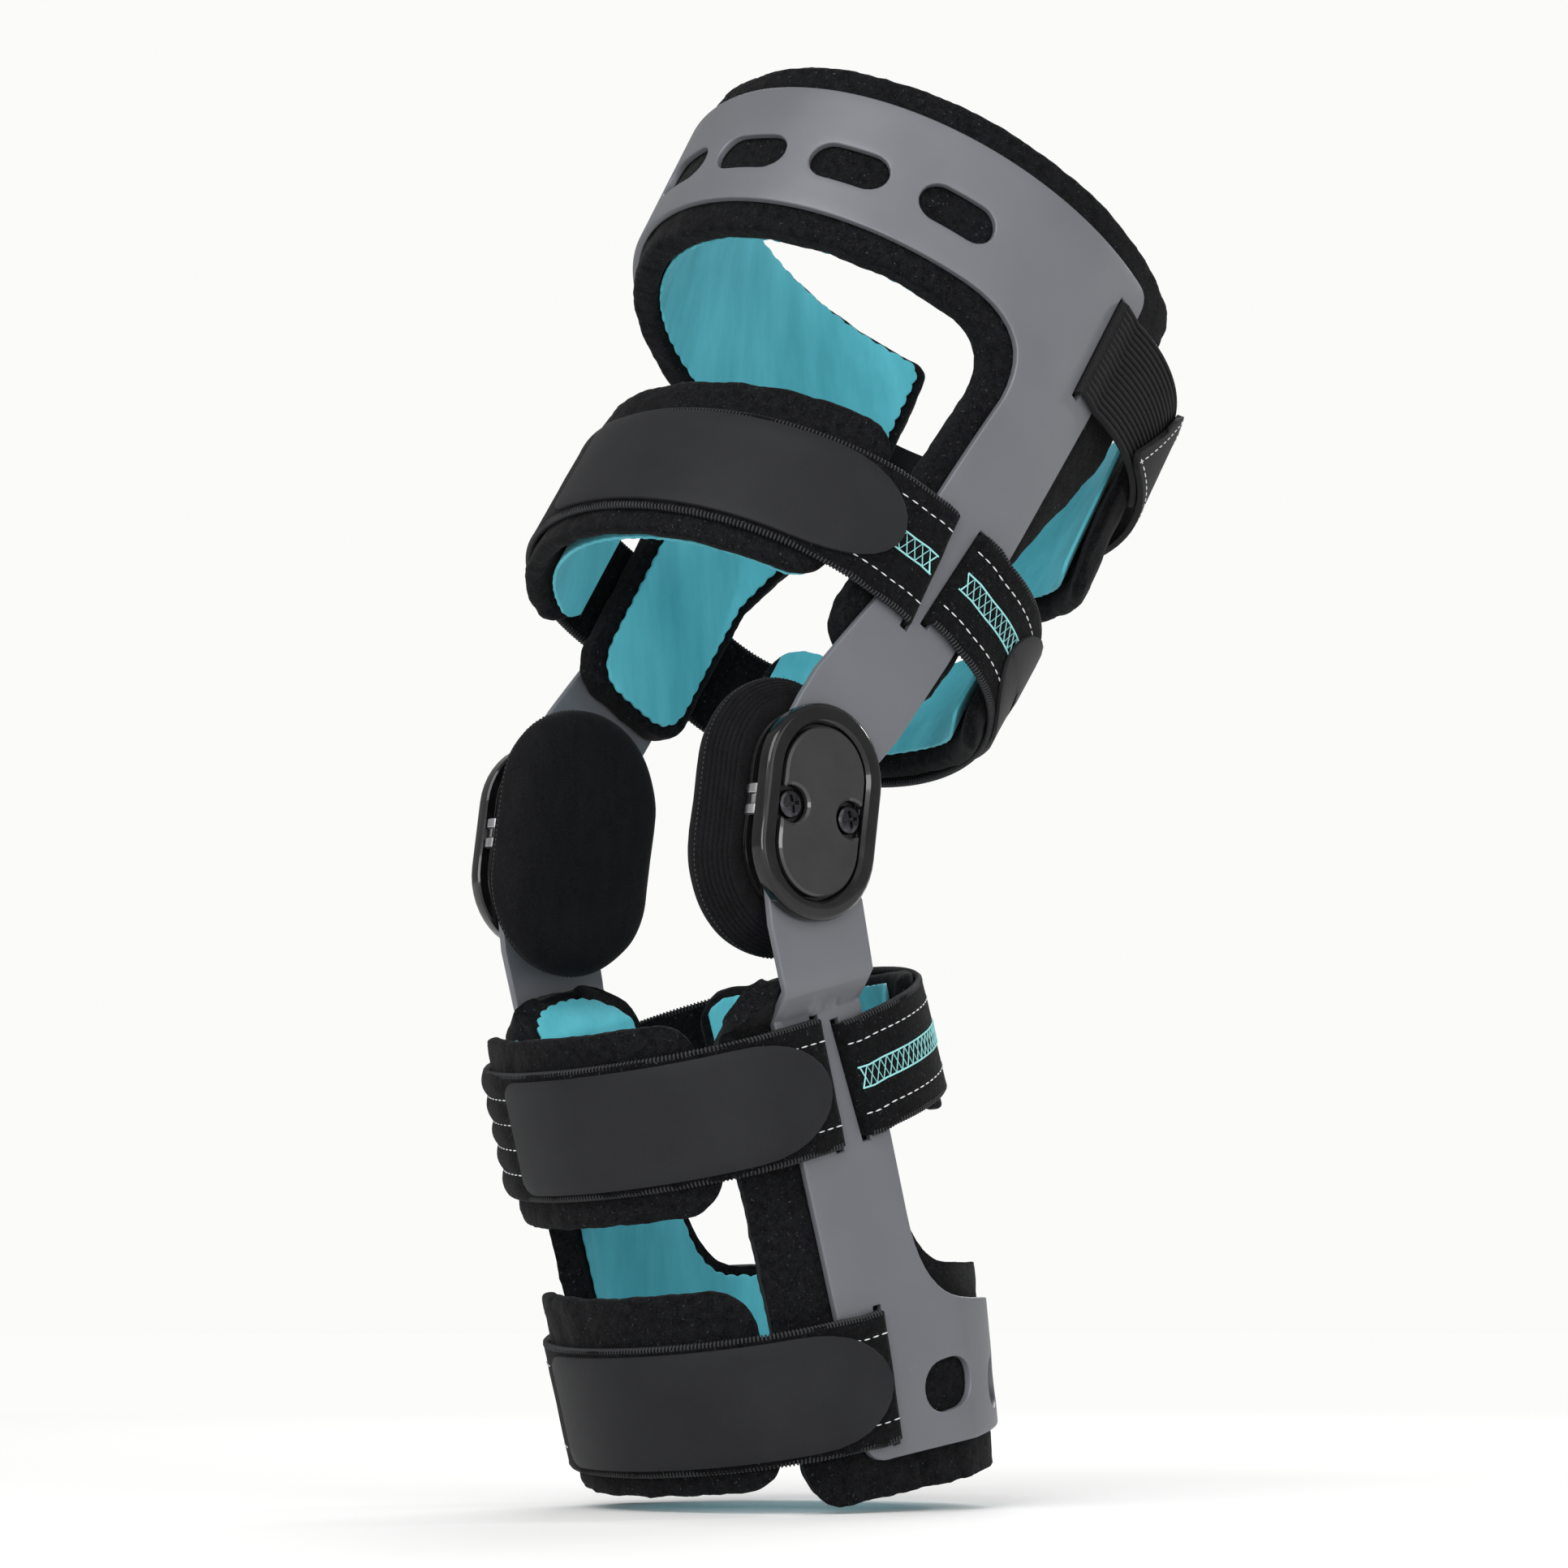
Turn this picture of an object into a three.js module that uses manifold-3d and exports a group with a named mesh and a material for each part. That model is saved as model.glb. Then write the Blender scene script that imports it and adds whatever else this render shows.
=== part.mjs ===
// Hinged knee brace, bent as on a slightly bent knee. Millimetres, +Z up.
// The knee's front faces -Y and the near side is +X. The origin is the knee centre, midway between the hinges.
import * as THREE from 'three';
import { mergeVertices } from 'three/addons/utils/BufferGeometryUtils.js';
import Module from 'manifold-3d';

const wasm = await Module();
wasm.setup();
const rad = THREE.MathUtils.degToRad;

// Pose, in degrees from upright: the thigh leans back, the calf leans forward, the hinges halve the bend
const THIGH_LEAN = 31;
const CALF_LEAN = 15;
const HINGE_LEAN = (THIGH_LEAN - CALF_LEAN) / 2;
const PIVOT_HEIGHT = 15.5;

// Layers of the wall
const METAL = 2.5;
const LINER = 8;
const LINING = 1.2;
const PAD = 7;
const STRAP = 2;
const TAB = 1.6;
const GAP = 0.3;
const SLACK = 0.8;

// Inner face of the thigh's sheet metal, by height above its pivot; side is the flat face of the uprights
const THIGH_SECTIONS = [
  { z: -20, halfWidth: 69, halfDepth: 62, centre: 3, side: 62.2 },
  { z: 24, halfWidth: 69, halfDepth: 62, centre: 3, side: 62.2 },
  { z: 94, halfWidth: 71.5, halfDepth: 70, centre: 3, side: 67.4 },
  { z: 150, halfWidth: 74.5, halfDepth: 85, centre: -1, side: 74.5 },
  { z: 220, halfWidth: 76, halfDepth: 86, centre: -1, side: 80 },
];
// Front and rear edges of the thigh's uprights, by height
const THIGH_EDGES = [
  { z: 14, front: -14.5, rear: 20 },
  { z: 24, front: -13.5, rear: 22.5 },
  { z: 54, front: -7, rear: 25.6 },
  { z: 94, front: -4.8, rear: 27.8 },
  { z: 132, front: -2.2, rear: 29.6 },
];
const BAND = { bottom: 155, top: 199, rear: 30.6, corner: 6, fillet: 28 };
const BAND_HOLES = { z: 173.5, width: 25, height: 13, angles: [12, 37, 62] };
const THIGH_LINER = { end: 37, endRound: 14, grow: 8, rearGrow: 6, flare: 18, flareFrom: 94, topGrow: 11 };

// The same for the calf, by height above its pivot: the arms step inwards below the hinge
const CALF_SECTIONS = [
  { z: 20, halfWidth: 69, halfDepth: 64, centre: 0, side: 62.2 },
  { z: -34, halfWidth: 69, halfDepth: 64, centre: 0, side: 62.2 },
  { z: -42, halfWidth: 60, halfDepth: 63, centre: 2, side: 54.2 },
  { z: -130, halfWidth: 59, halfDepth: 67, centre: 7, side: 54.2 },
  { z: -215, halfWidth: 58, halfDepth: 60, centre: 1, side: 54.2 },
];
const CALF_EDGES = [
  { z: -14, front: -16.8, rear: 18.6 },
  { z: -44, front: -16.4, rear: 17 },
  { z: -84, front: -16, rear: 18.6 },
  { z: -108, front: -15.4, rear: 18.7 },
  { z: -166, front: -14.4, rear: 18.7 },
];
// The cuff behind the calf drops towards the back; bottom and top are its heights at the upright's middle
const CUFF = { bottom: -176, top: -129, slope: -0.25, hemSlope: -0.1, corner: 10, fillet: 17 };
const CUFF_HOLES = { below: 26.5, width: 19, height: 15, angles: [105, 135, 165] };
const CALF_LINER = { end: -30.2, endRound: 30, grow: 11, frontGrow: 18, rearGrow: 1 };

// Growth of the bare metal's outline, against which the liners' are given
const BARE = { grow: 0, rearGrow: 0, flare: 0, topGrow: 0, frontGrow: 0 };

// Eye of each arm round its pivot, and the reach of the solids that cut the walls
const EYE = 15;
const EYE_HOLE = 4.4;
const REACH = 110;
const RING_STEPS = 32;

// Straps by the slot they loop through: mid height, slot depth and slant, and reach beyond the upright
const FRONT = -1;
const REAR = 1;
const SLOT = { width: 3, spare: 3, fold: 8 };
const STRAPS = {
  back: { half: 'thigh', toward: REAR, mid: 170, height: 36, slot: 21, slant: 0.02, reach: 60 },
  frontThigh: { half: 'thigh', toward: FRONT, mid: 73, height: 38, slot: 4.5, slant: -0.07, reach: 63 },
  rearThigh: { half: 'thigh', toward: REAR, mid: 76, height: 34, slot: 13.5, slant: 0.09, reach: 50 },
  frontCalf: { half: 'calf', toward: FRONT, mid: -64, height: 38, slot: -1.5, slant: 0, reach: 44 },
  rearCalf: { half: 'calf', toward: REAR, mid: -65, height: 34, slot: 7.5, slant: -0.09, reach: 52 },
  shin: { half: 'calf', toward: FRONT, mid: -151.5, height: 38, slot: -1, slant: 0.07, reach: 44 },
};

// Hinge, outwards from the arms' plane: oval cap with a sunk plate and two screws; oval pad inside the knee
const CAP = { width: 44, height: 64, base: 2, depth: 5, rim: 6 };
const PLATE = { width: 30, height: 50, thickness: 2.7, notch: 5.6, screw: 4.2, screwHeight: 1.8, screwAt: 11.2 };
const BACKPLATE = { width: 42, height: 62, thickness: 2.8 };
const CONDYLE_PAD = { width: 58, height: 83, inside: 40, round: 7 };
const PIVOT_RADIUS = 4;

// Finishes
const finish = (color, roughness, metalness = 0) => new THREE.MeshStandardMaterial({ color, roughness, metalness });
const grayMetal = finish(0x6f7076, 0.45, 0.6);
const blackFleece = finish(0x141416, 0.95);
const tealCloth = finish(0x2f8f98, 0.85);
const strapCloth = finish(0x18181a, 0.9);
const hookTape = finish(0x3a3a3d, 0.6);
const ribbedElastic = finish(0x131314, 0.8);
const glossBlack = finish(0x202022, 0.25);
const darkSteel = finish(0x55565a, 0.35, 0.9);

// Solids and cuts
const facingOut = (geometry) => {
  const at = geometry.attributes.position;
  const index = geometry.index.array;
  const corner = (k) => new THREE.Vector3().fromBufferAttribute(at, index[k]);
  let volume = 0;
  for (let k = 0; k < index.length; k += 3) {
    volume += corner(k).dot(corner(k + 1).cross(corner(k + 2)));
  }
  if (volume < 0) {
    index.reverse();
  }
  return geometry;
};

const solidOf = (geometry) => {
  const bare = geometry.clone();
  bare.deleteAttribute('normal');
  bare.deleteAttribute('uv');
  const merged = facingOut(mergeVertices(bare, 1e-4));
  const vertProperties = new Float32Array(merged.attributes.position.array);
  return new wasm.Manifold(new wasm.Mesh({ numProp: 3, vertProperties, triVerts: new Uint32Array(merged.index.array) }));
};

const geometryOf = (solid) => {
  const { vertProperties, triVerts } = solid.getMesh();
  const geometry = new THREE.BufferGeometry();
  geometry.setAttribute('position', new THREE.BufferAttribute(new Float32Array(vertProperties), 3));
  geometry.setIndex(new THREE.BufferAttribute(new Uint32Array(triVerts), 1));
  geometry.computeVertexNormals();
  return geometry;
};

// A closed slab between two grids of points, with columns along it and rows up it; a ring joins its two ends
const slab = (columns, rows, inside, outside, ring = false) => {
  const points = [];
  for (const face of [inside, outside]) {
    for (let c = 0; c < columns; c += 1) {
      for (let r = 0; r < rows; r += 1) {
        points.push(face(c, r));
      }
    }
  }
  const at = (face, c, r) => face * columns * rows + (c % columns) * rows + r;
  const index = [];
  const quad = (a, b, c, d) => index.push(a, b, c, a, c, d);
  const top = rows - 1;
  const last = columns - 1;
  for (let c = 0; c < (ring ? columns : last); c += 1) {
    for (let r = 0; r < top; r += 1) {
      quad(at(0, c, r), at(0, c, r + 1), at(0, c + 1, r + 1), at(0, c + 1, r));
      quad(at(1, c, r), at(1, c + 1, r), at(1, c + 1, r + 1), at(1, c, r + 1));
    }
    quad(at(0, c, 0), at(0, c + 1, 0), at(1, c + 1, 0), at(1, c, 0));
    quad(at(0, c, top), at(1, c, top), at(1, c + 1, top), at(0, c + 1, top));
  }
  for (let r = 0; r < top && !ring; r += 1) {
    quad(at(0, 0, r), at(1, 0, r), at(1, 0, r + 1), at(0, 0, r + 1));
    quad(at(0, last, r), at(0, last, r + 1), at(1, last, r + 1), at(1, last, r));
  }
  const geometry = new THREE.BufferGeometry().setFromPoints(points);
  geometry.setIndex(new THREE.BufferAttribute(new Uint32Array(index), 1));
  return facingOut(geometry);
};

// A side outline, drawn with depth to the right and height up, extruded across the knee
const acrossKnee = (shape, from = -REACH, to = REACH) => {
  const geometry = new THREE.ExtrudeGeometry(shape, { depth: to - from, bevelEnabled: false, curveSegments: 6 });
  const axes = new THREE.Matrix4().makeBasis(
    new THREE.Vector3(0, 1, 0),
    new THREE.Vector3(0, 0, 1),
    new THREE.Vector3(1, 0, 0),
  );
  return solidOf(geometry.applyMatrix4(axes).translate(from, 0, 0));
};

const stadium = (width, height) => {
  const radius = width / 2;
  const straight = height / 2 - radius;
  const shape = new THREE.Shape();
  shape.absarc(0, straight, radius, 0, Math.PI);
  shape.absarc(0, -straight, radius, Math.PI, 2 * Math.PI);
  return shape;
};

const disc = (radius, y = 0, z = 0) => new THREE.Shape().absarc(y, z, radius, 0, 2 * Math.PI);

const polygon = (...corners) => new THREE.Shape(corners.map(([y, z]) => new THREE.Vector2(y, z)));

// Walls round the limb
const between = (rows, z) => {
  const sorted = [...rows].sort((a, b) => a.z - b.z);
  const above = sorted.findIndex((row) => row.z >= z);
  if (above <= 0) {
    return sorted.at(above);
  }
  const [low, high] = [sorted[above - 1], sorted[above]];
  const share = (z - low.z) / (high.z - low.z);
  const mixed = {};
  for (const key of Object.keys(low)) {
    mixed[key] = THREE.MathUtils.lerp(low[key], high[key], share);
  }
  return mixed;
};

const wallPoint = (section, angle, offset) => {
  const limit = section.side + offset;
  const x = THREE.MathUtils.clamp((section.halfWidth + offset) * Math.sin(angle), -limit, limit);
  return new THREE.Vector3(x, section.centre - (section.halfDepth + offset) * Math.cos(angle), section.z);
};

const ringAngle = (step) => (2 * Math.PI * step) / RING_STEPS;

// Half width of the faceted wall at one depth
const wallWidth = (section, y, offset) => {
  const side = Array.from({ length: RING_STEPS / 2 + 1 }, (_, c) => wallPoint(section, ringAngle(c), offset));
  const behind = side.findIndex((point) => point.y >= y);
  const [before, after] = [side[behind - 1], side[behind]];
  return THREE.MathUtils.mapLinear(y, before.y, after.y, before.x, after.x);
};

const wall = (sections, inner, outer) => {
  const face = (offset) => (c, r) => wallPoint(sections[r], ringAngle(c), offset);
  return solidOf(slab(RING_STEPS, sections.length, face(inner), face(outer), true));
};

const wallHole = (section, angle, z, { width, height }) => {
  const corner = Math.min(width, height) / 2;
  const shape = new THREE.Shape();
  shape.absarc(width / 2 - corner, 0, corner, -Math.PI / 2, Math.PI / 2);
  shape.absarc(corner - width / 2, 0, corner, Math.PI / 2, 1.5 * Math.PI);
  const geometry = new THREE.ExtrudeGeometry(shape, { depth: REACH / 2, bevelEnabled: false, curveSegments: 4 });
  const up = new THREE.Vector3(0, 0, 1);
  const out = new THREE.Vector3(Math.sin(angle) / section.halfWidth, -Math.cos(angle) / section.halfDepth, 0);
  out.normalize();
  const place = new THREE.Matrix4().makeBasis(up.clone().cross(out), up, out);
  const centre = wallPoint(section, angle, 0);
  place.setPosition(centre.x - out.x * LINER, centre.y - out.y * LINER, z);
  return solidOf(geometry.applyMatrix4(place));
};

const slotY = (strap, z) => strap.slot + strap.slant * (z - strap.mid);

const strapSlot = (strap) => {
  const half = strap.height / 2 + SLOT.spare / 2;
  const [low, high] = [strap.mid - half, strap.mid + half];
  const side = SLOT.width / 2;
  return acrossKnee(
    polygon(
      [slotY(strap, low) - side, low],
      [slotY(strap, low) + side, low],
      [slotY(strap, high) + side, high],
      [slotY(strap, high) - side, high],
    ),
  );
};

// Room in a liner for the stretch of strap folded behind the bar of its slot
const foldRecess = (sections, strap) => {
  const half = strap.height / 2 + SLOT.spare;
  const ends = [strap.slot - strap.toward * SLOT.width * 2, strap.slot + strap.toward * (SLOT.fold + SLOT.width * 1.5)];
  const room = polygon(
    [Math.min(...ends), strap.mid - half],
    [Math.max(...ends), strap.mid - half],
    [Math.max(...ends), strap.mid + half],
    [Math.min(...ends), strap.mid + half],
  );
  return wall(sections, -(STRAP + SLACK + 2 * GAP), METAL).intersect(acrossKnee(room));
};

// Thigh frame: two uprights and a band round the front of the thigh
const thighEdge = (shape, { grow, rearGrow, flare, topGrow }) => {
  const { bottom, top, rear, corner, fillet } = BAND;
  const [back, crest, sill] = [rear + rearGrow + flare, top + topGrow, bottom - grow];
  const { flareFrom } = THIGH_LINER;
  const flared = (z) => rearGrow + (flare * Math.max(0, z - flareFrom)) / (bottom - flareFrom);
  for (const edge of THIGH_EDGES.filter(({ z }) => z > THIGH_LINER.end || grow === 0)) {
    shape.lineTo(edge.rear + flared(edge.z), edge.z);
  }
  shape.lineTo(back, bottom);
  shape.lineTo(back, crest - corner);
  shape.quadraticCurveTo(back, crest, back - corner, crest);
  shape.lineTo(-REACH, crest);
  shape.lineTo(-REACH, sill);
  const last = THIGH_EDGES.at(-1);
  shape.lineTo(last.front - fillet, sill);
  shape.quadraticCurveTo(last.front - grow, sill, last.front - grow, last.z - grow / 2);
  for (const edge of [...THIGH_EDGES].reverse().slice(1).filter(({ z }) => z > THIGH_LINER.end || grow === 0)) {
    shape.lineTo(edge.front - grow, edge.z);
  }
  return shape;
};

const thighFrameOutline = () => thighEdge(new THREE.Shape().absarc(0, 0, EYE, Math.PI, 2 * Math.PI), BARE);

const thighLinerOutline = () => {
  const { end, endRound, grow, rearGrow } = THIGH_LINER;
  const low = between(THIGH_EDGES, end + endRound);
  const [front, rear] = [low.front - grow, low.rear + rearGrow];
  const shape = new THREE.Shape();
  shape.moveTo(front, end + endRound);
  shape.quadraticCurveTo(front, end, front + endRound, end);
  shape.lineTo(rear - endRound, end);
  shape.quadraticCurveTo(rear, end, rear, end + endRound);
  return thighEdge(shape, THIGH_LINER);
};

const thighFrame = () => {
  let frame = wall(THIGH_SECTIONS, 0, METAL).intersect(acrossKnee(thighFrameOutline()));
  const section = between(THIGH_SECTIONS, BAND_HOLES.z);
  for (const angle of BAND_HOLES.angles.flatMap((a) => [a, -a])) {
    frame = frame.subtract(wallHole(section, rad(angle), BAND_HOLES.z, BAND_HOLES));
  }
  for (const strap of [STRAPS.back, STRAPS.frontThigh, STRAPS.rearThigh]) {
    frame = frame.subtract(strapSlot(strap));
  }
  return geometryOf(frame.subtract(acrossKnee(disc(EYE_HOLE))));
};

const thighLiner = () => {
  let liner = wall(THIGH_SECTIONS, -(GAP + LINER), -GAP).intersect(acrossKnee(thighLinerOutline()));
  for (const strap of [STRAPS.back, STRAPS.frontThigh, STRAPS.rearThigh]) {
    liner = liner.subtract(foldRecess(THIGH_SECTIONS, strap));
  }
  return geometryOf(liner);
};

const thighLining = () => {
  const outer = -(LINER + 2 * GAP);
  return geometryOf(wall(THIGH_SECTIONS, outer - LINING, outer).intersect(acrossKnee(thighLinerOutline())));
};

// Calf frame: two uprights, stepped below the hinge, and a cuff round the back of the calf
const cuffLine = (height, y) => height + CUFF.slope * y;
const hemLine = (height, y) => height + CUFF.hemSlope * y;

const calfEdge = (shape, { grow, frontGrow, rearGrow }) => {
  const { bottom, top, corner, fillet } = CUFF;
  const kept = CALF_EDGES.filter(({ z }) => z < CALF_LINER.end - CALF_LINER.endRound || grow === 0);
  for (const edge of kept) {
    shape.lineTo(edge.front - frontGrow, edge.z);
  }
  const front = kept.at(-1).front - frontGrow;
  const toe = hemLine(bottom - grow, front + corner);
  shape.quadraticCurveTo(front, toe, front + corner, toe);
  shape.lineTo(REACH, hemLine(bottom - grow, REACH));
  shape.lineTo(REACH, cuffLine(top + grow, REACH));
  const heel = kept.at(-2);
  const shoulder = heel.rear + rearGrow;
  shape.lineTo(shoulder + fillet, cuffLine(top + grow, shoulder + fillet));
  shape.quadraticCurveTo(shoulder, cuffLine(top + grow, shoulder), shoulder, heel.z + grow);
  for (const edge of kept.slice(0, -2).reverse()) {
    shape.lineTo(edge.rear + rearGrow, edge.z);
  }
  return shape;
};

const calfFrameOutline = () => calfEdge(new THREE.Shape().absarc(0, 0, EYE, 0, Math.PI), BARE);

const calfLinerOutline = () => {
  const { end, endRound, frontGrow, rearGrow } = CALF_LINER;
  const high = between(CALF_EDGES, end - endRound);
  const [front, rear] = [high.front - frontGrow, high.rear + rearGrow];
  const shape = new THREE.Shape();
  shape.moveTo(rear, end - endRound);
  shape.quadraticCurveTo(rear, end, (front + rear) / 2, end);
  shape.quadraticCurveTo(front, end, front, end - endRound);
  return calfEdge(shape, CALF_LINER);
};

const calfFrame = () => {
  let frame = wall(CALF_SECTIONS, 0, METAL).intersect(acrossKnee(calfFrameOutline()));
  const section = between(CALF_SECTIONS, CUFF.bottom);
  for (const angle of CUFF_HOLES.angles.flatMap((a) => [a, -a])) {
    const { y } = wallPoint(section, rad(angle), 0);
    const z = cuffLine(CUFF.top - CUFF_HOLES.below, y);
    frame = frame.subtract(wallHole(section, rad(angle), z, CUFF_HOLES));
  }
  for (const strap of [STRAPS.frontCalf, STRAPS.rearCalf, STRAPS.shin]) {
    frame = frame.subtract(strapSlot(strap));
  }
  return geometryOf(frame.subtract(acrossKnee(disc(EYE_HOLE))));
};

const calfLiner = () => {
  let liner = wall(CALF_SECTIONS, -(GAP + LINER), -GAP).intersect(acrossKnee(calfLinerOutline()));
  for (const strap of [STRAPS.frontCalf, STRAPS.rearCalf, STRAPS.shin]) {
    liner = liner.subtract(foldRecess(CALF_SECTIONS, strap));
  }
  return geometryOf(liner);
};

const calfLining = () => {
  const outer = -(LINER + 2 * GAP);
  return geometryOf(wall(CALF_SECTIONS, outer - LINING, outer).intersect(acrossKnee(calfLinerOutline())));
};

// Straps: out through the slots, over the uprights' edges and round the limb on a half ellipse
const HALVES = {
  thigh: { sections: THIGH_SECTIONS, edges: THIGH_EDGES },
  calf: { sections: CALF_SECTIONS, edges: CALF_EDGES },
};
const ARC_STEP = 10;

const levels = (strap) => [strap.mid - strap.height / 2, strap.mid + strap.height / 2];

// Where the strap leaves the upright, on the centre line of its cloth
const strapEdge = (strap, height) => {
  const z = THREE.MathUtils.clamp(height, ...levels(strap));
  const { sections, edges } = HALVES[strap.half];
  const { front, rear } = between(edges, z);
  const y = (strap.toward === FRONT ? front : rear) + strap.toward * METAL / 2;
  return { y, x: wallWidth(between(sections, z), y, METAL) + SLACK + STRAP / 2 };
};

// A point on the strap's arc; a negative angle runs straight on over the upright
const arcPoint = (strap, z, angle, offset) => {
  const edge = strapEdge(strap, z);
  const turn = rad(Math.max(angle, 0));
  const straight = strap.reach * rad(Math.min(angle, 0));
  const y = edge.y + strap.toward * ((strap.reach + offset) * Math.sin(turn) + straight);
  const x = (edge.x + offset) * Math.cos(turn);
  return new THREE.Vector3(x, y, z - strap.slant * (y - strap.slot));
};

// Centre line of the fold round one slot's bar, from its inner end to the upright's edge
const foldPoints = (strap, z) => {
  const section = between(HALVES[strap.half].sections, z);
  const slot = slotY(strap, z);
  const end = slot + strap.toward * SLOT.fold;
  const middle = (slot + strapEdge(strap, z).y) / 2;
  const inside = (y) => wallWidth(section, y, 0) - SLACK - STRAP / 2;
  const outside = (y) => wallWidth(section, y, METAL) + SLACK + STRAP / 2;
  return [
    new THREE.Vector3(inside(end), end, z),
    new THREE.Vector3(inside(slot), slot, z),
    new THREE.Vector3(outside(slot), slot, z),
    new THREE.Vector3(outside(middle), middle, z),
  ];
};

const sideways = (points, distance) =>
  points.map((point, k) => {
    const before = points[Math.max(k - 1, 0)];
    const after = points[Math.min(k + 1, points.length - 1)];
    const normal = (from, to) => new THREE.Vector2(from.y - to.y, to.x - from.x).normalize();
    const first = normal(before, k > 0 ? point : after);
    const second = normal(k < points.length - 1 ? point : before, after);
    const mitre = first.clone().add(second).normalize();
    mitre.multiplyScalar(distance / mitre.dot(first));
    return new THREE.Vector3(point.x + mitre.x, point.y + mitre.y, point.z);
  });

const ribbon = (routes) => {
  const faces = [-STRAP / 2, STRAP / 2].map((distance) => routes.map((route) => sideways(route, distance)));
  const face = (side) => (c, r) => faces[side][r][c];
  return slab(routes[0].length, routes.length, face(0), face(1));
};

const steps = (from, to) => {
  const count = Math.max(2, Math.round((to - from) / ARC_STEP));
  return Array.from({ length: count + 1 }, (_, k) => from + ((to - from) * k) / count);
};
const mirrored = (points) => points.map(({ x, y, z }) => new THREE.Vector3(-x, y, z));

const wholeStrap = (strap) =>
  ribbon(
    levels(strap).map((z) => [
      ...foldPoints(strap, z),
      ...steps(0, 180).map((angle) => arcPoint(strap, z, angle, 0)),
      ...mirrored(foldPoints(strap, z)).reverse(),
    ]),
  );

const strapEnd = (strap, until, far) =>
  ribbon(
    levels(strap).map((z) => {
      const near = [...foldPoints(strap, z), ...steps(0, until).map((angle) => arcPoint(strap, z, angle, 0))];
      return far ? mirrored(near) : near;
    }),
  );

// A curved patch on a strap's arc: pad, lining, sewn-on strap or tab, with rounded, slightly blunt ends.
// An arch cuts away the middle of its lower edge, or of its upper edge where it is negative.
const PATCH_ROWS = [-1, -0.75, 0.75, 1];
const BLUNT_END = 0.35;
const PAD_ROUND = 16;
const PAD_SOFTEN = 3;
const TAB_ROUND = 16;
const SEAM_ROUND = 4;
const patch = (strap, { from, to, height, inner, outer, round, lift = 0, soften = 0, arch = 0 }) => {
  const rows = soften > 0 ? PATCH_ROWS : [-1, 1];
  const across = steps(from, to);
  const radius = THREE.MathUtils.radToDeg(round / strap.reach);
  const share = (angle) => {
    const past = Math.max(from + radius - angle, angle - to + radius, 0) / radius;
    return Math.max(BLUNT_END, Math.sqrt(1 - Math.min(1, past * past)));
  };
  const point = (offset, c, r) => {
    const z = strap.mid + (rows[r] * height * share(across[c])) / 2;
    const moved = arcPoint(strap, z, across[c], offset);
    const bump = arch * Math.sin(rad(across[c])) ** 2;
    moved.z += lift + (rows[r] * bump < 0 ? bump : 0);
    return moved;
  };
  const edgeDrop = (r) => (r === 0 || r === rows.length - 1 ? soften : 0);
  return slab(
    across.length,
    rows.length,
    (c, r) => point(inner, c, r),
    (c, r) => point(outer - edgeDrop(r), c, r),
  );
};

const UNDER_STRAP = -(STRAP / 2 + SLACK);
const OVER_STRAP = STRAP / 2 + SLACK;
const padPatch = (strap, pad) =>
  patch(strap, { ...pad, inner: UNDER_STRAP - PAD, outer: UNDER_STRAP, round: PAD_ROUND, soften: PAD_SOFTEN });
const liningPatch = (strap, pad) => {
  const outer = UNDER_STRAP - PAD - SLACK;
  return patch(strap, { ...pad, inner: outer - LINING, outer, round: PAD_ROUND });
};
const tabPatch = (strap, tab, over = OVER_STRAP) =>
  patch(strap, { ...tab, inner: over, outer: over + TAB, round: TAB_ROUND });

// Pads and tabs along each arc, in degrees from the near upright's edge to the far one's
const PADS = {
  back: { from: 36, to: 144, height: 84, lift: -22, arch: 18 },
  frontThigh: { from: 16, to: 164, height: 58, lift: 3 },
  rearThigh: { from: 26, to: 154, height: 56, lift: -4, arch: 16 },
  frontCalf: { from: 31, to: 149, height: 57 },
  rearCalf: { from: 28, to: 152, height: 46, arch: -7 },
  shin: { from: 31, to: 149, height: 60, lift: 4 },
};
const TABS = {
  back: { from: 62, to: 132, height: 34 },
  frontThigh: { from: 4, to: 104, height: 34 },
  rearThigh: { from: 17, to: 140, height: 40, lift: -3, arch: 12 },
  frontCalf: { from: -18, to: 106, height: 34 },
  rearCalf: { from: 80, to: 160, height: 29 },
  shin: { from: -17, to: 116, height: 34 },
};
const BACK_STRAP = { from: 30, to: 150, height: 36 };
const ELASTIC_END = 44;

// Assembly
const mesh = (name, geometry, material) => {
  const piece = new THREE.Mesh(geometry, material);
  piece.name = name;
  return piece;
};

const strapSet = (group, name, strap, pad, tab) => {
  group.add(mesh(`${name}_strap`, wholeStrap(strap), strapCloth));
  group.add(mesh(`${name}_tab`, tabPatch(strap, tab), hookTape));
  group.add(mesh(`${name}_pad`, padPatch(strap, pad), blackFleece));
  group.add(mesh(`${name}_lining`, liningPatch(strap, pad), tealCloth));
};

const pivotAt = (side) => {
  const lean = rad(HINGE_LEAN);
  return new THREE.Vector3(0, side * PIVOT_HEIGHT * Math.sin(lean), side * PIVOT_HEIGHT * Math.cos(lean));
};

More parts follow.
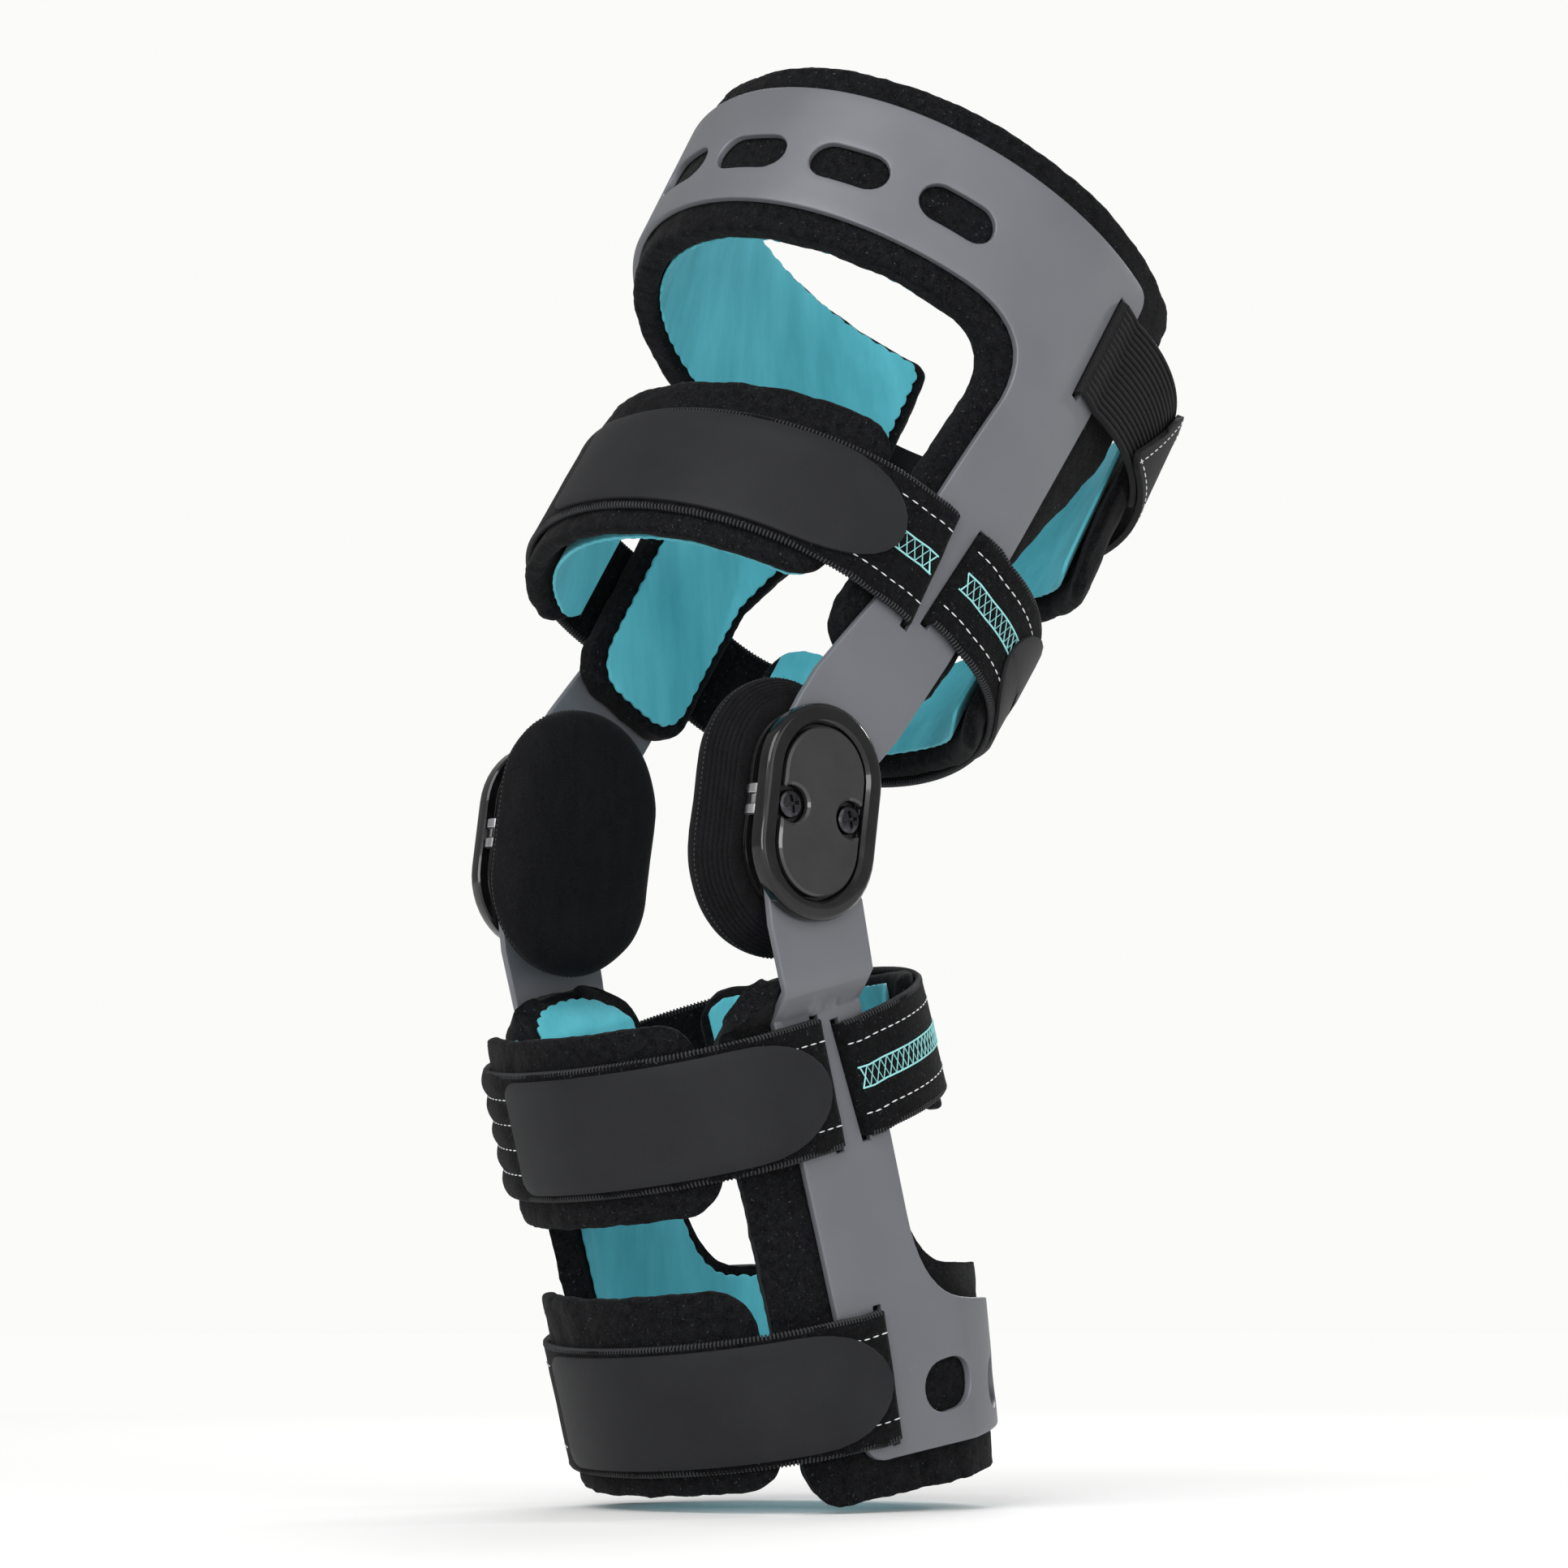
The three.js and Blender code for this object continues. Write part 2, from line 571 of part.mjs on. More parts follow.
const thigh = new THREE.Group();
thigh.position.copy(pivotAt(1));
thigh.rotation.x = -rad(THIGH_LEAN);
thigh.add(mesh('thigh_frame', thighFrame(), grayMetal));
thigh.add(mesh('thigh_liner', thighLiner(), blackFleece));
thigh.add(mesh('thigh_lining', thighLining(), tealCloth));
thigh.add(mesh('back_elastic_near', strapEnd(STRAPS.back, ELASTIC_END, false), ribbedElastic));
thigh.add(mesh('back_elastic_far', strapEnd(STRAPS.back, ELASTIC_END, true), ribbedElastic));
const sewnOver = OVER_STRAP + STRAP;
const backStrap = patch(STRAPS.back, { ...BACK_STRAP, inner: OVER_STRAP, outer: sewnOver, round: SEAM_ROUND });
thigh.add(mesh('back_strap', backStrap, strapCloth));
thigh.add(mesh('back_tab', tabPatch(STRAPS.back, TABS.back, sewnOver + GAP), hookTape));
thigh.add(mesh('back_pad', padPatch(STRAPS.back, PADS.back), blackFleece));
thigh.add(mesh('back_lining', liningPatch(STRAPS.back, PADS.back), tealCloth));
strapSet(thigh, 'front_thigh', STRAPS.frontThigh, PADS.frontThigh, TABS.frontThigh);
strapSet(thigh, 'rear_thigh', STRAPS.rearThigh, PADS.rearThigh, TABS.rearThigh);

const calf = new THREE.Group();
calf.position.copy(pivotAt(-1));
calf.rotation.x = rad(CALF_LEAN);
calf.add(mesh('calf_frame', calfFrame(), grayMetal));
calf.add(mesh('calf_liner', calfLiner(), blackFleece));
calf.add(mesh('calf_lining', calfLining(), tealCloth));
strapSet(calf, 'front_calf', STRAPS.frontCalf, PADS.frontCalf, TABS.frontCalf);
strapSet(calf, 'rear_calf', STRAPS.rearCalf, PADS.rearCalf, TABS.rearCalf);
strapSet(calf, 'shin', STRAPS.shin, PADS.shin, TABS.shin);

// One hinge, built on the near side; the far one is the same turned half round, so its front is at +Y
const ARM_INSIDE = THIGH_SECTIONS[0].side;
const ARM_OUTSIDE = ARM_INSIDE + METAL;

const hingeCap = () => {
  const inside = ARM_OUTSIDE + GAP;
  const cap = acrossKnee(stadium(CAP.width, CAP.height), inside, inside + CAP.depth);
  const sunk = stadium(CAP.width - 2 * CAP.rim, CAP.height - 2 * CAP.rim);
  return geometryOf(cap.subtract(acrossKnee(sunk, inside + CAP.base, inside + CAP.depth + 1)));
};

const SEAT = ARM_OUTSIDE + 2 * GAP + CAP.base;

const hingePlate = () => {
  let plate = acrossKnee(stadium(PLATE.width, PLATE.height), SEAT, SEAT + PLATE.thickness);
  for (const y of [-PLATE.screwAt, PLATE.screwAt]) {
    plate = plate.subtract(acrossKnee(disc(PLATE.notch, y), SEAT - 1, SEAT + PLATE.thickness + 1));
  }
  return geometryOf(plate);
};

const hingeScrew = (y) => geometryOf(acrossKnee(disc(PLATE.screw, y), SEAT, SEAT + PLATE.screwHeight));

const hingeBackplate = () => {
  const outside = ARM_INSIDE - GAP;
  return geometryOf(acrossKnee(stadium(BACKPLATE.width, BACKPLATE.height), outside - BACKPLATE.thickness, outside));
};

const hingePivot = (side) =>
  geometryOf(acrossKnee(disc(PIVOT_RADIUS, 0, side * PIVOT_HEIGHT), ARM_INSIDE, ARM_OUTSIDE));

const condylePad = () => {
  const { width, height, inside, round } = CONDYLE_PAD;
  const outside = ARM_INSIDE - 2 * GAP - BACKPLATE.thickness;
  const shape = stadium(width - 2 * round, height - 2 * round);
  const bevel = { bevelEnabled: true, bevelThickness: round, bevelSize: round, bevelSegments: 2 };
  const depth = outside - inside - 2 * round;
  const geometry = new THREE.ExtrudeGeometry(shape, { depth, curveSegments: 8, ...bevel });
  geometry.rotateX(Math.PI / 2).rotateZ(Math.PI / 2);
  return geometryOf(solidOf(geometry.translate(inside + round, 0, 0)));
};

const hinge = new THREE.Group();
hinge.rotation.x = -rad(HINGE_LEAN);
for (const [side, turn, front] of [['near', 0, FRONT], ['far', Math.PI, REAR]]) {
  const housing = new THREE.Group();
  housing.rotation.z = turn;
  housing.add(mesh(`hinge_cap_${side}`, hingeCap(), glossBlack));
  housing.add(mesh(`hinge_plate_${side}`, hingePlate(), glossBlack));
  housing.add(mesh(`hinge_front_screw_${side}`, hingeScrew(front * PLATE.screwAt), darkSteel));
  housing.add(mesh(`hinge_rear_screw_${side}`, hingeScrew(-front * PLATE.screwAt), darkSteel));
  housing.add(mesh(`hinge_backplate_${side}`, hingeBackplate(), darkSteel));
  housing.add(mesh(`hinge_upper_pivot_${side}`, hingePivot(1), darkSteel));
  housing.add(mesh(`hinge_lower_pivot_${side}`, hingePivot(-1), darkSteel));
  housing.add(mesh(`condyle_pad_${side}`, condylePad(), blackFleece));
  hinge.add(housing);
}

const brace = new THREE.Group();
brace.add(thigh, hinge, calf);

export default brace;
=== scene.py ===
import math

import bmesh
import bpy
import numpy as np
from mathutils import Matrix, Vector, noise
from mathutils.geometry import delaunay_2d_cdt


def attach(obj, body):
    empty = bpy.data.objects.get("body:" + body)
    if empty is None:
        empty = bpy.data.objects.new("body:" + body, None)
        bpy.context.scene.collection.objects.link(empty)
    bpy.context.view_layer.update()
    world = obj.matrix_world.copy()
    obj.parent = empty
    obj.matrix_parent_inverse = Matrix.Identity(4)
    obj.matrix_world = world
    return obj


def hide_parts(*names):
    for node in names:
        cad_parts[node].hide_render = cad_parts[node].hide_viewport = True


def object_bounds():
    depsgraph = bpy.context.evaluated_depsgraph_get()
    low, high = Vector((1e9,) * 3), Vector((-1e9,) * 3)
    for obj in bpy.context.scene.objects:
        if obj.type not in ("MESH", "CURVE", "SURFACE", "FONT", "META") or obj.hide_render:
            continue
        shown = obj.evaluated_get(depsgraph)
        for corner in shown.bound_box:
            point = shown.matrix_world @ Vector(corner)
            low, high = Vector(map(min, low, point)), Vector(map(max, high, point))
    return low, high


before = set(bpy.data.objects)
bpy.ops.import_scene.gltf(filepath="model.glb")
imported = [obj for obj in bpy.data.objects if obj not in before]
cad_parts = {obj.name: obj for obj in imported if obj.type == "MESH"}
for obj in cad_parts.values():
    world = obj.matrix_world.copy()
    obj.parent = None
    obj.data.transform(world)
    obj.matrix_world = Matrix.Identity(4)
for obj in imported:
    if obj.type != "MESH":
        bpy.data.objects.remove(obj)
cad_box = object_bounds()

# Thigh frame: one sheet of 2.5 mm metal, two uprights and a band round the front of the thigh.
# It is cut with oval holes and strap slots, bent round the limb and painted a satin mid gray.
# The eyes at its lower ends turn on the upper pins of the two hinges.
MM = 0.001
METAL = 2.5
GAP = 0.3
PIVOT_HEIGHT = 15.5
LEAN = {"thigh": -31, "hinge": -8, "calf": 15}
THIGH_WALL = {
    "z": (-20, 24, 94, 150, 220),
    "width": (69, 69, 71.5, 74.5, 76),
    "depth": (62, 62, 70, 85, 86),
    "centre": (3, 3, 3, -1, -1),
    "side": (62.2, 62.2, 67.4, 74.5, 80),
}
THIGH_EDGES = {
    "z": (14, 24, 54, 94, 132),
    "front": (-14.5, -13.5, -7, -4.8, -2.2),
    "rear": (20, 22.5, 25.6, 27.8, 29.6),
}
BAND = {"bottom": 155, "top": 199, "rear": 30.6, "corner": 6, "fillet": 28}
FLARE_FROM = 94
BAND_HOLES = {"z": 173.5, "width": 25, "height": 13, "angles": (12, 37, 62)}
EYE = 15
EYE_HOLE = 4.4
SLOT = {"width": 3, "spare": 3, "fold": 8}
STRAP_COLUMNS = ("half", "to", "mid", "height", "slot", "slant", "reach")
STRAP_TABLE = {
    "back": ("thigh", 1, 170, 36, 21, 0.02, 60),
    "front_thigh": ("thigh", -1, 73, 38, 4.5, -0.07, 63),
    "rear_thigh": ("thigh", 1, 76, 34, 13.5, 0.09, 50),
    "front_calf": ("calf", -1, -64, 38, -1.5, 0, 44),
    "rear_calf": ("calf", 1, -65, 34, 7.5, -0.09, 52),
    "shin": ("calf", -1, -151.5, 38, -1, 0.07, 44),
}
STRAPS = {name: dict(zip(STRAP_COLUMNS, row)) for name, row in STRAP_TABLE.items()}
SHEET_PITCH = 3
SHEET_BEVEL = 0.55
SHEET_CORNER = 50
SLIVER = 0.004
CLEARANCE = 0.65
WELD = 1e-5
MERGE = 1e-7
RING = 66
ROUND_STEPS = 24
HOLE_STEPS = 12
INNER_EDGE_STEPS = 20
OUTER_EDGE_STEPS = 30


def turned(part, pivot_side):
    lean = math.radians(LEAN["hinge"])
    pivot = Vector((0, -math.sin(lean), math.cos(lean))) * PIVOT_HEIGHT * pivot_side
    return np.array(Matrix.Translation(pivot) @ Matrix.Rotation(math.radians(LEAN[part]), 4, "X"))


PLACE = {"thigh": turned("thigh", 1), "calf": turned("calf", -1), "hinge": turned("hinge", 0)}


def placed(points, part):
    """Takes points from a part's own millimetres to the object's metres."""
    return (np.asarray(points, float) @ PLACE[part][:3, :3].T + PLACE[part][:3, 3]) * MM


def column(table, key, z):
    return np.interp(z, table["z"], table[key])


def wall_points(wall, angle, z, offset):
    """Points on a limb wall, by angle from the front and by height."""
    limit = column(wall, "side", z) + offset
    x = np.clip((column(wall, "width", z) + offset) * np.sin(angle), -limit, limit)
    y = column(wall, "centre", z) - (column(wall, "depth", z) + offset) * np.cos(angle)
    return np.stack([x, y, np.broadcast_to(z, np.shape(x))], -1)


def round_angle(wall, y, z):
    share = (column(wall, "centre", z) - y) / column(wall, "depth", z)
    return np.arccos(np.clip(share, -1, 1))


def bend(start, control, end, steps=10):
    t = np.linspace(0, 1, steps + 1)[:, None]
    start, control, end = (np.array(p, float) for p in (start, control, end))
    return ((1 - t) ** 2 * start + 2 * t * (1 - t) * control + t**2 * end).tolist()


def circle(y, z, radius, start, stop, steps=ROUND_STEPS):
    turn = np.radians(np.linspace(start, stop, steps + 1))
    return np.stack([y + radius * np.cos(turn), z + radius * np.sin(turn)], -1).tolist()


def full_circle(y, z, radius):
    return circle(y, z, radius, 0, 360 - 360 / ROUND_STEPS, ROUND_STEPS - 1)


def onto_wall(wall, points):
    """Side-view points as angle and height on the near half of a wall."""
    y, z = np.array(points, float).T
    return np.stack([round_angle(wall, y, z), z], -1).tolist()


def strap_slots(wall, half):
    slots = []
    for strap in STRAPS.values():
        if strap["half"] == half:
            reach = (strap["height"] + SLOT["spare"]) / 2
            points = []
            for side, up in ((-1, -reach), (1, -reach), (1, reach), (-1, reach)):
                middle = strap["slot"] + strap["slant"] * up
                points.append((middle + side * SLOT["width"] / 2, strap["mid"] + up))
            slots.append(onto_wall(wall, points))
    return slots


def oval_hole(wall, angle, z, width, height):
    stretch = np.hypot(column(wall, "width", z) * np.cos(angle), column(wall, "depth", z) * np.sin(angle))
    corner = min(width, height) / 2
    right = circle(width / 2 - corner, 0, corner, -90, 90, HOLE_STEPS)
    left = circle(corner - width / 2, 0, corner, 90, 270, HOLE_STEPS)
    return [(angle + along / stretch, z + up) for along, up in right + left]


def thigh_outline(grow=0, rear_grow=0, top_grow=0, flare=0, lower_end=None):
    """Near half, from the band's lower edge round the upright to its upper edge, then the far half."""
    crest, sill = BAND["top"] + top_grow, BAND["bottom"] - grow
    back = BAND["rear"] + rear_grow + flare
    rows = list(zip(*THIGH_EDGES.values()))
    top, edge, _ = rows[-1]
    foot = lower_end(grow, rear_grow) if lower_end else circle(0, 0, EYE, 180, 360)
    lowest = max(z for _, z in foot)
    rows = [row for row in rows if row[0] > lowest]
    points = bend((edge - BAND["fillet"], sill), (edge - grow, sill), (edge - grow, top - grow / 2))
    points += [(front - grow, z) for z, front, _ in reversed(rows[:-1])]
    points += foot
    flared = np.interp([z for z, _, _ in rows], (FLARE_FROM, BAND["bottom"]), (0, flare))
    points += [(rear + rear_grow + more, z) for (z, _, rear), more in zip(rows, flared)]
    points += [(back, BAND["bottom"])]
    points += bend((back, crest - BAND["corner"]), (back, crest), (back - BAND["corner"], crest))
    near = onto_wall(THIGH_WALL, points)
    lower = [(a, sill) for a in np.linspace(0, near[0][0], INNER_EDGE_STEPS)[:-1]]
    upper = [(a, crest) for a in np.linspace(near[-1][0], 0, OUTER_EDGE_STEPS)[1:]]
    near = lower + near + upper
    return near + [(-a, z) for a, z in reversed(near)][1:-1]


def spaced(loop, pitch):
    """A closed loop of angle and height in flat millimetres, its points no further apart than the pitch."""
    flat = np.array([(a * RING, z) for a, z in loop])
    points = []
    for here, there in zip(flat, np.roll(flat, -1, 0)):
        count = max(1, math.ceil(np.linalg.norm(there - here) / pitch))
        points += [here + (there - here) * k / count for k in range(count)]
    return np.array(points)


def within(points, loops):
    inside = np.zeros(len(points), bool)
    for loop in loops:
        for (ax, ay), (bx, by) in zip(loop, np.roll(loop, -1, 0)):
            crossing = (ay > points[:, 1]) != (by > points[:, 1])
            if ay != by:
                inside ^= crossing & (points[:, 0] < (bx - ax) * (points[:, 1] - ay) / (by - ay) + ax)
    return inside


def cut_sheet(outline, holes, pitch, shape_edge=None, creases=()):
    """Angles, heights and triangles that fill an outline less its holes, with points along each crease."""
    loops = [spaced(loop, pitch) for loop in (outline, *holes)]
    if shape_edge:
        loops = [shape_edge(loop) for loop in loops]
    rim = np.concatenate(loops)
    edges = []
    for loop in loops:
        start = len(edges)
        edges += [(start + k, start + (k + 1) % len(loop)) for k in range(len(loop))]
    (left, low), (right, high) = rim.min(0), rim.max(0)
    across, up = np.meshgrid(np.arange(left, right, pitch), np.arange(low, high, pitch))
    across[1::2] += pitch / 2
    grid = np.stack([across.ravel(), up.ravel()], -1)
    for z in creases:
        grid = grid[np.abs(grid[:, 1] - z) > pitch / 2]
        row = np.arange(left, right, pitch / 2)
        grid = np.concatenate([grid, np.stack([row, np.full(len(row), z)], -1)])
    grid = grid[within(grid, loops)]
    clear = [np.min(np.sum((rim - point) ** 2, 1)) > (CLEARANCE * pitch) ** 2 for point in grid]
    points = [Vector(point) for point in np.concatenate([rim, grid[clear]])]
    found, _, faces, *_ = delaunay_2d_cdt(points, edges, [], 0, WELD)
    corners = np.array(found)[np.array(faces)]
    sides = corners[:, 1:] - corners[:, :1]
    area = np.abs(sides[:, 0, 0] * sides[:, 1, 1] - sides[:, 0, 1] * sides[:, 1, 0]) / 2
    kept = np.array(faces)[within(corners.mean(1), loops) & (area > SLIVER * pitch**2)]
    used, kept = np.unique(kept, return_inverse=True)
    flat = np.array(found)[used]
    return flat[:, 0] / RING, flat[:, 1], kept.reshape(-1, 3)


def linked(name, data):
    made = bpy.data.objects.new(name, data)
    bpy.context.scene.collection.objects.link(made)
    return made


def make_piece(name, points, faces, material):
    mesh = bpy.data.meshes.new(name)
    mesh.from_pydata(np.asarray(points, float).tolist(), [], [tuple(map(int, face)) for face in faces])
    mesh.materials.append(material)
    mesh.shade_smooth()
    return linked(name, mesh)


def settle(piece):
    """Turns a piece's modifiers into plain mesh."""
    bpy.context.view_layer.update()
    evaluated = piece.evaluated_get(bpy.context.evaluated_depsgraph_get())
    mesh = bpy.data.meshes.new_from_object(evaluated)
    old = piece.data
    piece.modifiers.clear()
    piece.data = mesh
    bpy.data.meshes.remove(old)
    mesh.name = piece.name
    return piece


def face_outwards(piece):
    form = bmesh.new()
    form.from_mesh(piece.data)
    bmesh.ops.remove_doubles(form, verts=form.verts, dist=MERGE)
    bmesh.ops.recalc_face_normals(form, faces=form.faces)
    form.to_mesh(piece.data)
    form.free()


def round_edges(piece, width, segments, corner):
    """Bevels the edges that turn by more than the corner's degrees."""
    rounding = piece.modifiers.new("edge", "BEVEL")
    rounding.width = width * MM
    rounding.segments = segments
    rounding.limit_method = "ANGLE"
    rounding.angle_limit = math.radians(corner)


def thicken(piece, thickness, bevel, segments=2, even_light=True):
    """Gives a sheet its thickness and rounds its edges."""
    solid = piece.modifiers.new("thickness", "SOLIDIFY")
    solid.thickness = thickness * MM
    solid.offset = 0
    settle(piece)
    face_outwards(piece)
    round_edges(piece, bevel, segments, SHEET_CORNER)
    if even_light:
        piece.modifiers.new("light", "WEIGHTED_NORMAL").keep_sharp = True
    settle(piece)
    piece.data.shade_smooth()
    return piece


def wired(tree, kind, settings=None, inputs=None):
    """Adds a node to a tree, with its settings and a value or a link for each input."""
    made = tree.nodes.new(kind)
    for key, value in (settings or {}).items():
        setattr(made, key, value)
    for key, value in (inputs or {}).items():
        if isinstance(value, bpy.types.NodeSocket):
            tree.links.new(value, made.inputs[key])
        else:
            made.inputs[key].default_value = value
    return made


class Tone:
    """A shader value that takes part in sums."""

    def __init__(self, finish, socket):
        self.finish = finish
        self.socket = socket

    def sum(self, operation, first, second):
        return self.finish.node("ShaderNodeMath", {"operation": operation}, {0: first, 1: second})

    def __add__(self, other):
        return self.sum("ADD", self, other)

    def __rsub__(self, other):
        return self.sum("SUBTRACT", other, self)

    def __mul__(self, other):
        return self.sum("MULTIPLY", self, other)

    def __pow__(self, other):
        return self.sum("POWER", self, other)

    __radd__ = __add__


class Finish:
    """A material: its fixed shader values, and what changes over the surface."""

    def __init__(self, name, **fixed):
        self.material = bpy.data.materials.new(name)
        self.material.use_nodes = True
        self.tree = self.material.node_tree
        self.shader = self.tree.nodes["Principled BSDF"]
        for key, value in fixed.items():
            self.shader.inputs[key.replace("_", " ").title().replace("Ior", "IOR")].default_value = value

    def node(self, kind, settings=None, inputs=None, out=0):
        given = {key: getattr(value, "socket", value) for key, value in (inputs or {}).items()}
        return Tone(self, wired(self.tree, kind, settings, given).outputs[out])

    def feed(self, key, tone):
        self.tree.links.new(tone.socket, self.shader.inputs[key])

    def place(self, source="Object"):
        return self.node("ShaderNodeTexCoord", out=source)

    def noise(self, scale, detail=2, roughness=0.5, vector=None):
        values = {"Scale": scale, "Detail": detail, "Roughness": roughness}
        return self.node("ShaderNodeTexNoise", None, {"Vector": vector or self.place(), **values})

    def stretched(self, scale, source="Object"):
        return self.node("ShaderNodeMapping", None, {"Vector": self.place(source), "Scale": scale})

    def ramp(self, tone, *stops):
        """A colour for each tone, between two stops that are each a tone and its colour."""
        made = wired(self.tree, "ShaderNodeValToRGB", None, {"Fac": tone.socket})
        for stop, (place, color) in zip(made.color_ramp.elements, stops):
            stop.position = place
            stop.color = (*color, 1)
        return Tone(self, made.outputs[0])

    def dye(self, tone, *stops):
        self.feed("Base Color", self.ramp(tone, *stops))

    def mix(self, share, first, second):
        settings = {"data_type": "RGBA"}
        return self.node("ShaderNodeMix", settings, {0: share, 6: first, 7: second}, out=2)

    def surface(self, roughness, height, strength, distance):
        """Gives the material its roughness and its relief, and hands it over."""
        self.feed("Roughness", roughness)
        values = {"Strength": strength, "Distance": distance * MM, "Height": height}
        self.feed("Normal", self.node("ShaderNodeBump", None, values))
        return self.material


BLACK, WHITE = (0, 0, 0), (1, 1, 1)


def gray_paint():
    coat = {"coat_weight": 0.08, "coat_roughness": 0.3}
    finish = Finish("gray_paint", metallic=0.2, specular_ior_level=0.4, **coat)
    cloud = finish.noise(28, 3)
    grain = finish.noise(2600, 2)
    scuff = finish.noise(140, 4, 0.6)
    tint = finish.ramp(cloud, (0.3, (0.124, 0.129, 0.144)), (0.7, (0.141, 0.147, 0.163)))
    worn = finish.ramp(scuff, (0.68, BLACK), (0.8, WHITE))
    finish.feed("Base Color", finish.mix(worn * 0.12, tint, (0.2, 0.2, 0.215, 1)))
    return finish.surface(0.36 + cloud * 0.08 + grain * 0.06, grain, 0.12, 0.05)


GRAY_PAINT = gray_paint()


def stands_for(piece, body, node):
    """Lets a piece ride on a body in place of one of its nodes."""
    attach(piece, body)
    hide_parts(node)


def frame_sheet(name, wall, part, outline, holes, creases=()):
    angle, z, faces = cut_sheet(outline, holes, SHEET_PITCH, None, creases)
    points = placed(wall_points(wall, angle, z, METAL / 2), part)
    piece = thicken(make_piece(name + "_sheet", points, faces, GRAY_PAINT), METAL, SHEET_BEVEL)
    stands_for(piece, part, name)


def both_sides(loops, middle=0):
    return loops + [[(2 * middle - a, z) for a, z in loop] for loop in loops]


eye_hole = full_circle(0, 0, EYE_HOLE)
thigh_holes = [
    oval_hole(THIGH_WALL, math.radians(a), BAND_HOLES["z"], BAND_HOLES["width"], BAND_HOLES["height"])
    for a in BAND_HOLES["angles"]
]
thigh_holes += strap_slots(THIGH_WALL, "thigh") + [onto_wall(THIGH_WALL, eye_hole)]
frame_sheet("thigh_frame", THIGH_WALL, "thigh", thigh_outline(), both_sides(thigh_holes))

# Calf frame: the same painted sheet, two uprights that step inwards below the hinge, with a sharp crease,
# and a cuff that drops towards the back of the calf. Its eyes turn on the lower pins of the hinges.
CALF_WALL = {
    "z": (-215, -130, -42, -34, 20),
    "width": (58, 59, 60, 69, 69),
    "depth": (60, 67, 63, 64, 64),
    "centre": (1, 7, 2, 0, 0),
    "side": (54.2, 54.2, 54.2, 62.2, 62.2),
}
CREASES = (-130, -42, -34)
CALF_EDGES = {
    "z": (-166, -108, -84, -44, -14),
    "front": (-14.4, -15.4, -16, -16.4, -16.8),
    "rear": (18.7, 18.7, 18.6, 17, 18.6),
}
CUFF = {"bottom": -176, "top": -129, "slope": -0.25, "hem_slope": -0.1, "corner": 10, "fillet": 17}
CUFF_HOLES = {"below": 26.5, "width": 19, "height": 15, "angles": (105, 135, 165)}


def cuff_line(height, y):
    return height + CUFF["slope"] * y


def hem_line(height, y):
    return height + CUFF["hem_slope"] * y


def calf_outline(grow=0, front_grow=0, rear_grow=0, upper_end=None):
    """Near half, from the cuff's upper edge round the upright to its lower edge, then the far half."""
    wall = CALF_WALL
    heights = sorted({*CALF_EDGES["z"], *CREASES})
    rows = [(z, column(CALF_EDGES, "front", z), column(CALF_EDGES, "rear", z)) for z in heights]
    head = upper_end(front_grow, rear_grow) if upper_end else circle(0, 0, EYE, 0, 180)
    rows = [row for row in rows if row[0] < min(z for _, z in head)]
    heel, shoulder = CALF_EDGES["z"][1], CALF_EDGES["rear"][1] + rear_grow
    brow, hem = CUFF["top"] + grow, CUFF["bottom"] - grow
    start = shoulder + CUFF["fillet"]
    points = bend(
        (start, cuff_line(brow, start)),
        (shoulder, cuff_line(brow, shoulder)),
        (shoulder, heel + grow),
    )
    points += [(rear + rear_grow, z) for z, _, rear in rows if z > heel]
    points += head
    points += [(front - front_grow, z) for z, front, _ in reversed(rows)]
    front = rows[0][1] - front_grow
    toe = front + CUFF["corner"]
    points += bend((front, rows[0][0]), (front, hem_line(hem, toe)), (toe, hem_line(hem, toe)))
    near = onto_wall(wall, points)

    def along(line, height, angles):
        y = wall_points(wall, angles, np.full(len(angles), height), 0)[:, 1]
        return list(zip(angles, line(height, y)))

    upper = along(cuff_line, brow, np.linspace(math.pi, near[0][0], INNER_EDGE_STEPS)[:-1])
    lower = along(hem_line, hem, np.linspace(near[-1][0], math.pi, OUTER_EDGE_STEPS)[1:])
    near = upper + near + lower
    return near + [(2 * math.pi - a, z) for a, z in reversed(near)][1:-1]


def cuff_hole(angle):
    y = wall_points(CALF_WALL, angle, CUFF["bottom"], 0)[1]
    z = cuff_line(CUFF["top"] - CUFF_HOLES["below"], y)
    return oval_hole(CALF_WALL, angle, z, CUFF_HOLES["width"], CUFF_HOLES["height"])


calf_holes = [cuff_hole(math.radians(a)) for a in CUFF_HOLES["angles"]]
calf_holes += strap_slots(CALF_WALL, "calf") + [onto_wall(CALF_WALL, eye_hole)]
frame_sheet("calf_frame", CALF_WALL, "calf", calf_outline(), both_sides(calf_holes, math.pi), CREASES)

# Liners: foam 8 mm thick in black brushed fleece behind each frame, standing proud of the metal's edges.
# Each is faced inside with teal cloth whose cut edge is pinked in small scallops.
LINER = 8
LINING = 1.2
THIGH_LINER = {"end": 37, "round": 14, "grow": 8, "rear_grow": 6, "top_grow": 11, "flare": 18}
CALF_LINER = {"end": -30.2, "round": 23, "grow": 11, "front_grow": 18, "rear_grow": 1}
LINER_PITCH = 4
LINER_EDGE = 3
LINER_EDGE_STEPS = 4
LINING_GAP = 1
LINING_INSET = 2.5
LINING_EDGE = 0.3
FLEECE_WAVES = ((9, 0.55), (2.4, 0.3))
SCALLOP = {"pitch": 5.2, "depth": 0.8, "samples": 4, "inward": 0.5}


